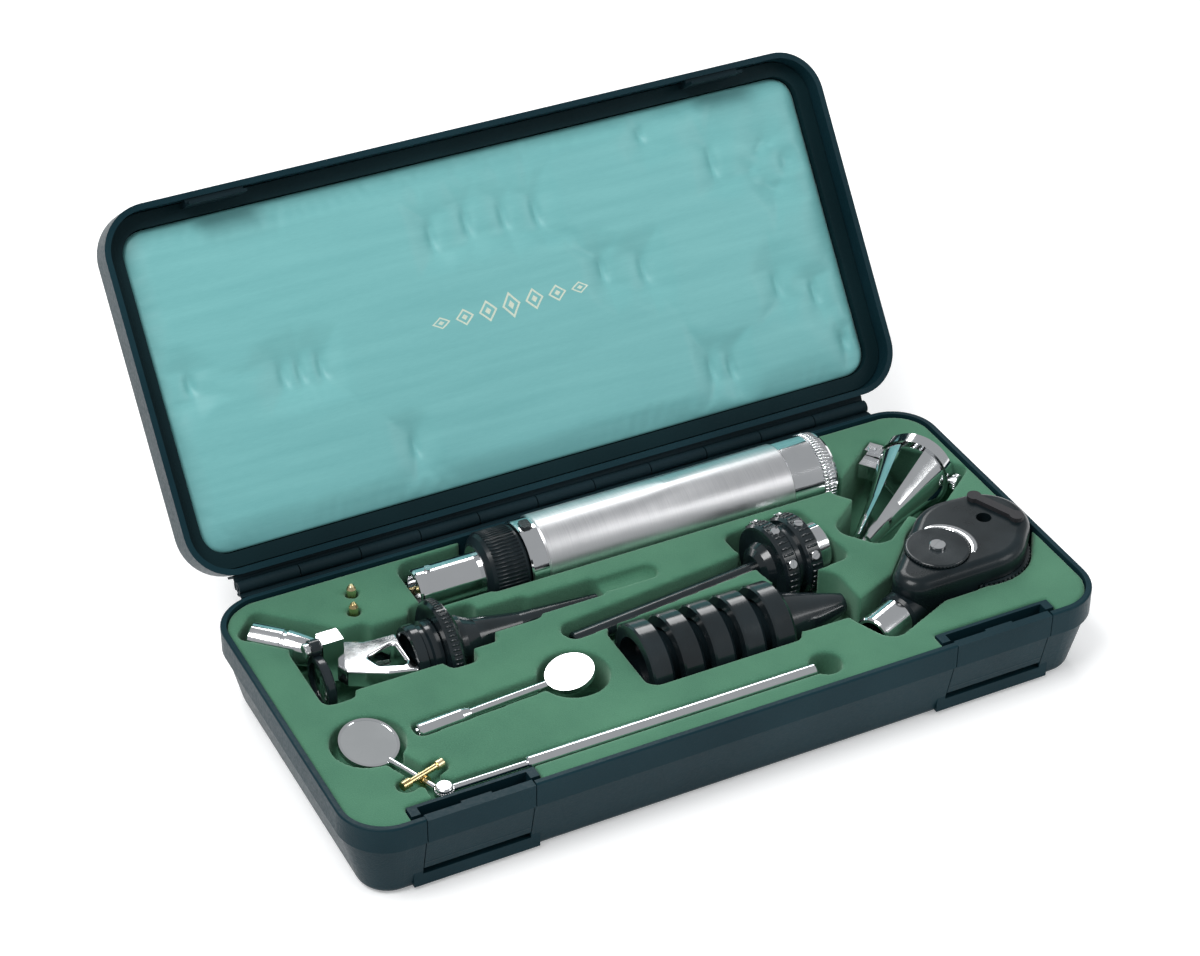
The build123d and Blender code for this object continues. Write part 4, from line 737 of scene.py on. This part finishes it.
def slottedHead(radius, height):
    # two half discs either side of a slot, on a thinner full disc, along +Z from 0
    vertices, faces = [], []

    def slab(outline, low, high):
        first, count = len(vertices), len(outline)
        vertices.extend((x, y, low) for x, y in outline)
        inner = [(x * screw["chamferIn"], y * screw["chamferIn"]) for x, y in outline]
        vertices.extend((x, y, high - screw["chamferDown"] * (high - low)) for x, y in outline)
        vertices.extend((x, y, high) for x, y in inner)
        faces.append(tuple(reversed(range(first, first + count))))
        faces.append(tuple(range(first + 2 * count, first + 3 * count)))
        for level in (0, 1):
            for index in range(count):
                after = (index + 1) % count
                base = first + level * count
                faces.append((base + index, base + after, base + count + after, base + count + index))

    def arc(start, sweep, count, side=1):
        turns = [start + sweep * index / screw[count] for index in range(screw[count])]
        return [(side * radius * math.cos(a), side * radius * math.sin(a)) for a in turns]

    slab(arc(0.0, 2 * math.pi, "rim"), 0.0, height * (1 - screw["slotDepth"]))
    start = math.asin(screw["slotShare"])
    sweep = math.pi - 2 * start
    for side in (1, -1):
        last = (side * radius * math.cos(start + sweep), side * radius * math.sin(start + sweep))
        slab(arc(start, sweep, "segments", side) + [last], height * screw["halfFrom"], height)
    return vertices, faces


def screwPiece(name, size, places, body, *replaced):
    # one slotted head at each place: a point on the screw's axis, the way it faces, and its slot's turn
    vertices, faces = [], []
    for place, direction, turn in places:
        points, rings = slottedHead(size["radius"] * mm, size["height"] * mm)
        matrix = axisMatrix(place - direction * size["sunk"] * mm, direction, turn)
        first = len(vertices)
        vertices.extend(matrix @ Vector(point) for point in points)
        faces.extend(tuple(first + index for index in ring) for ring in rings)
    mesh = meshFrom(name, vertices, faces, smooth=False)
    piece = addPiece(name, mesh, "chrome", body)
    if replaced:
        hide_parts(*replaced)


def buildScrews():
    tube = middleOf("illuminator_tube")
    wand = heading(lieAt["wand"])
    places = []
    for index, points in enumerate(shells("illuminator_screws")):
        centre = Vector(points.mean(axis=0))
        hub = tube + wand * (centre - tube).dot(wand)
        places.append((centre, (centre - hub).normalized(), heads["wand"]["turn"] * index))
    screwPiece("illuminatorScrewHeads", heads["wand"], places, "illuminator", "illuminator_screws")
    dial = middleOf("dial_screw")
    dialTop = Vector((dial.x, dial.y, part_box("dial_screw")[1].z))
    dialPlace = (dialTop, Vector((0, 0, 1)), heads["dial"]["turn"])
    screwPiece("dialScrewHead", heads["dial"], [dialPlace], "ophthalmoscope")
    pivot = middleOf("lens_pivot_screw")
    pivotEnd = Vector((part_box("lens_pivot_screw")[0].x, pivot.y, pivot.z))
    pivotPlace = (pivotEnd, Vector((-1, 0, 0)), heads["pivot"]["turn"])
    screwPiece("lensPivotHead", heads["pivot"], [pivotPlace], "otoscope")
    print("slotted screws ready")


buildScrews()

# bright crescent let into the ophthalmoscope's face, round the aperture dial

crescent = {
    "inner": 11.0 * mm, "outer": 14.6 * mm, "half": 58.0, "rise": 0.55 * mm, "steps": 48,
    # across its section: share of the width, and of the rise
    "section": ((0, -0.3), (0, 0.35), (0.25, 0.9), (0.5, 1.0), (0.75, 0.9), (1, 0.35), (1, -0.3)),
}


def buildCrescent():
    # widest in the middle and running out to a point at each end
    centre = middleOf("aperture_dial")
    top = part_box("ophthalmoscope_front")[1].z
    vertices, faces = [], []
    for step in range(crescent["steps"] + 1):
        share = 2 * step / crescent["steps"] - 1
        swell = math.sqrt(max(0.0, 1 - share * share)) * 0.96 + 0.04
        outward = heading(lieAt["eye"] + crescent["half"] * share)
        width = (crescent["outer"] - crescent["inner"]) * swell
        for reach, lift in crescent["section"]:
            place = centre + outward * (crescent["inner"] + width * reach)
            height = top + crescent["rise"] * lift * (swell if lift > 0 else 1)
            vertices.append((place.x, place.y, height))
    ring = len(crescent["section"])
    for step in range(crescent["steps"]):
        for index in range(ring):
            after = (index + 1) % ring
            first = step * ring
            faces.append((first + index, first + after, first + ring + after, first + ring + index))
    faces.append(tuple(range(ring)))
    faces.append(tuple(reversed(range(crescent["steps"] * ring, (crescent["steps"] + 1) * ring))))
    mesh = meshFrom("faceCrescent", vertices, faces)
    work = bmesh.new()
    work.from_mesh(mesh)
    bmesh.ops.recalc_face_normals(work, faces=work.faces)
    work.to_mesh(mesh)
    work.free()
    addPiece("faceCrescent", mesh, "chrome", "ophthalmoscope")
    print("crescent ready")


buildCrescent()

# view, lights and floor

camera = {
    "place": (-0.3668, -0.6795, 0.6355), "lift": 35.74, "turn": -26.90, "roll": 0.34,
    "lens": 91.14, "sensor": 36.0,
}


def buildCamera():
    lens = bpy.data.cameras.new("viewCamera")
    lens.lens = camera["lens"]
    lens.sensor_width = camera["sensor"]
    lens.clip_start = 0.01
    eye = bpy.data.objects.new("viewCamera", lens)
    lift, turn, roll = (math.radians(camera[key]) for key in ("lift", "turn", "roll"))
    back = Vector((math.sin(turn) * math.cos(lift), -math.cos(turn) * math.cos(lift), math.sin(lift)))
    right = Vector((math.cos(turn), math.sin(turn), 0))
    up = back.cross(right)
    side = math.cos(roll) * right + math.sin(roll) * up
    rise = -math.sin(roll) * right + math.cos(roll) * up
    eye.matrix_world = Matrix.Translation(camera["place"]) @ Matrix((side, rise, back)).transposed().to_4x4()
    bpy.context.scene.collection.objects.link(eye)
    bpy.context.scene.camera = eye


studio = {"floorSize": 40.0, "floorGlow": 0.28, "floorDrop": 0.05 * mm, "world": 0.38}
softboxes = (
    # name, place, aim, size, watts
    ("key", (-0.7, -0.2, 1.5), (0, 0, 0.03), 0.8, 19.0),
    ("fill", (1.3, -0.9, 1.0), (0, 0, 0.03), 0.7, 6.0),
    ("rear", (0.4, 1.4, 1.2), (0, 0, 0.05), 0.9, 14.0),
)


def buildStudio():
    world = bpy.data.worlds.new("studioWorld")
    bpy.context.scene.world = world
    world.use_nodes = True
    glow = world.node_tree.nodes["Background"]
    glow.inputs["Color"].default_value = (0.94, 0.97, 1.0, 1)
    glow.inputs["Strength"].default_value = studio["world"]
    for name, place, aim, size, watts in softboxes:
        lamp = bpy.data.lights.new(name, "AREA")
        lamp.shape = "SQUARE"
        lamp.size = size
        lamp.energy = watts
        obj = bpy.data.objects.new(name, lamp)
        facing = (Vector(aim) - Vector(place)).to_track_quat("-Z", "Y").to_matrix().to_4x4()
        obj.matrix_world = Matrix.Translation(place) @ facing
        bpy.context.scene.collection.objects.link(obj)
    half = studio["floorSize"] / 2
    corners = [
        (half * x, half * y, -studio["floorDrop"]) for x, y in ((-1, -1), (1, -1), (1, 1), (-1, 1))
    ]
    mesh = meshFrom("paleFloor", corners, [(0, 1, 2, 3)], smooth=False)
    floor = bpy.data.objects.new("paleFloor", mesh)
    material, tree, shader = startMaterial("paleFloor", Roughness=0.8, Specular_IOR_Level=0.2)
    shader.inputs["Base Color"].default_value = (0.9, 0.9, 0.9, 1)
    shader.inputs["Emission Color"].default_value = (1, 1, 1, 1)
    shader.inputs["Emission Strength"].default_value = studio["floorGlow"]
    mesh.materials.append(material)
    bpy.context.scene.collection.objects.link(floor)
    bpy.context.scene.view_settings.view_transform = "Standard"


buildCamera()
buildStudio()
print("camera, lights and floor ready")
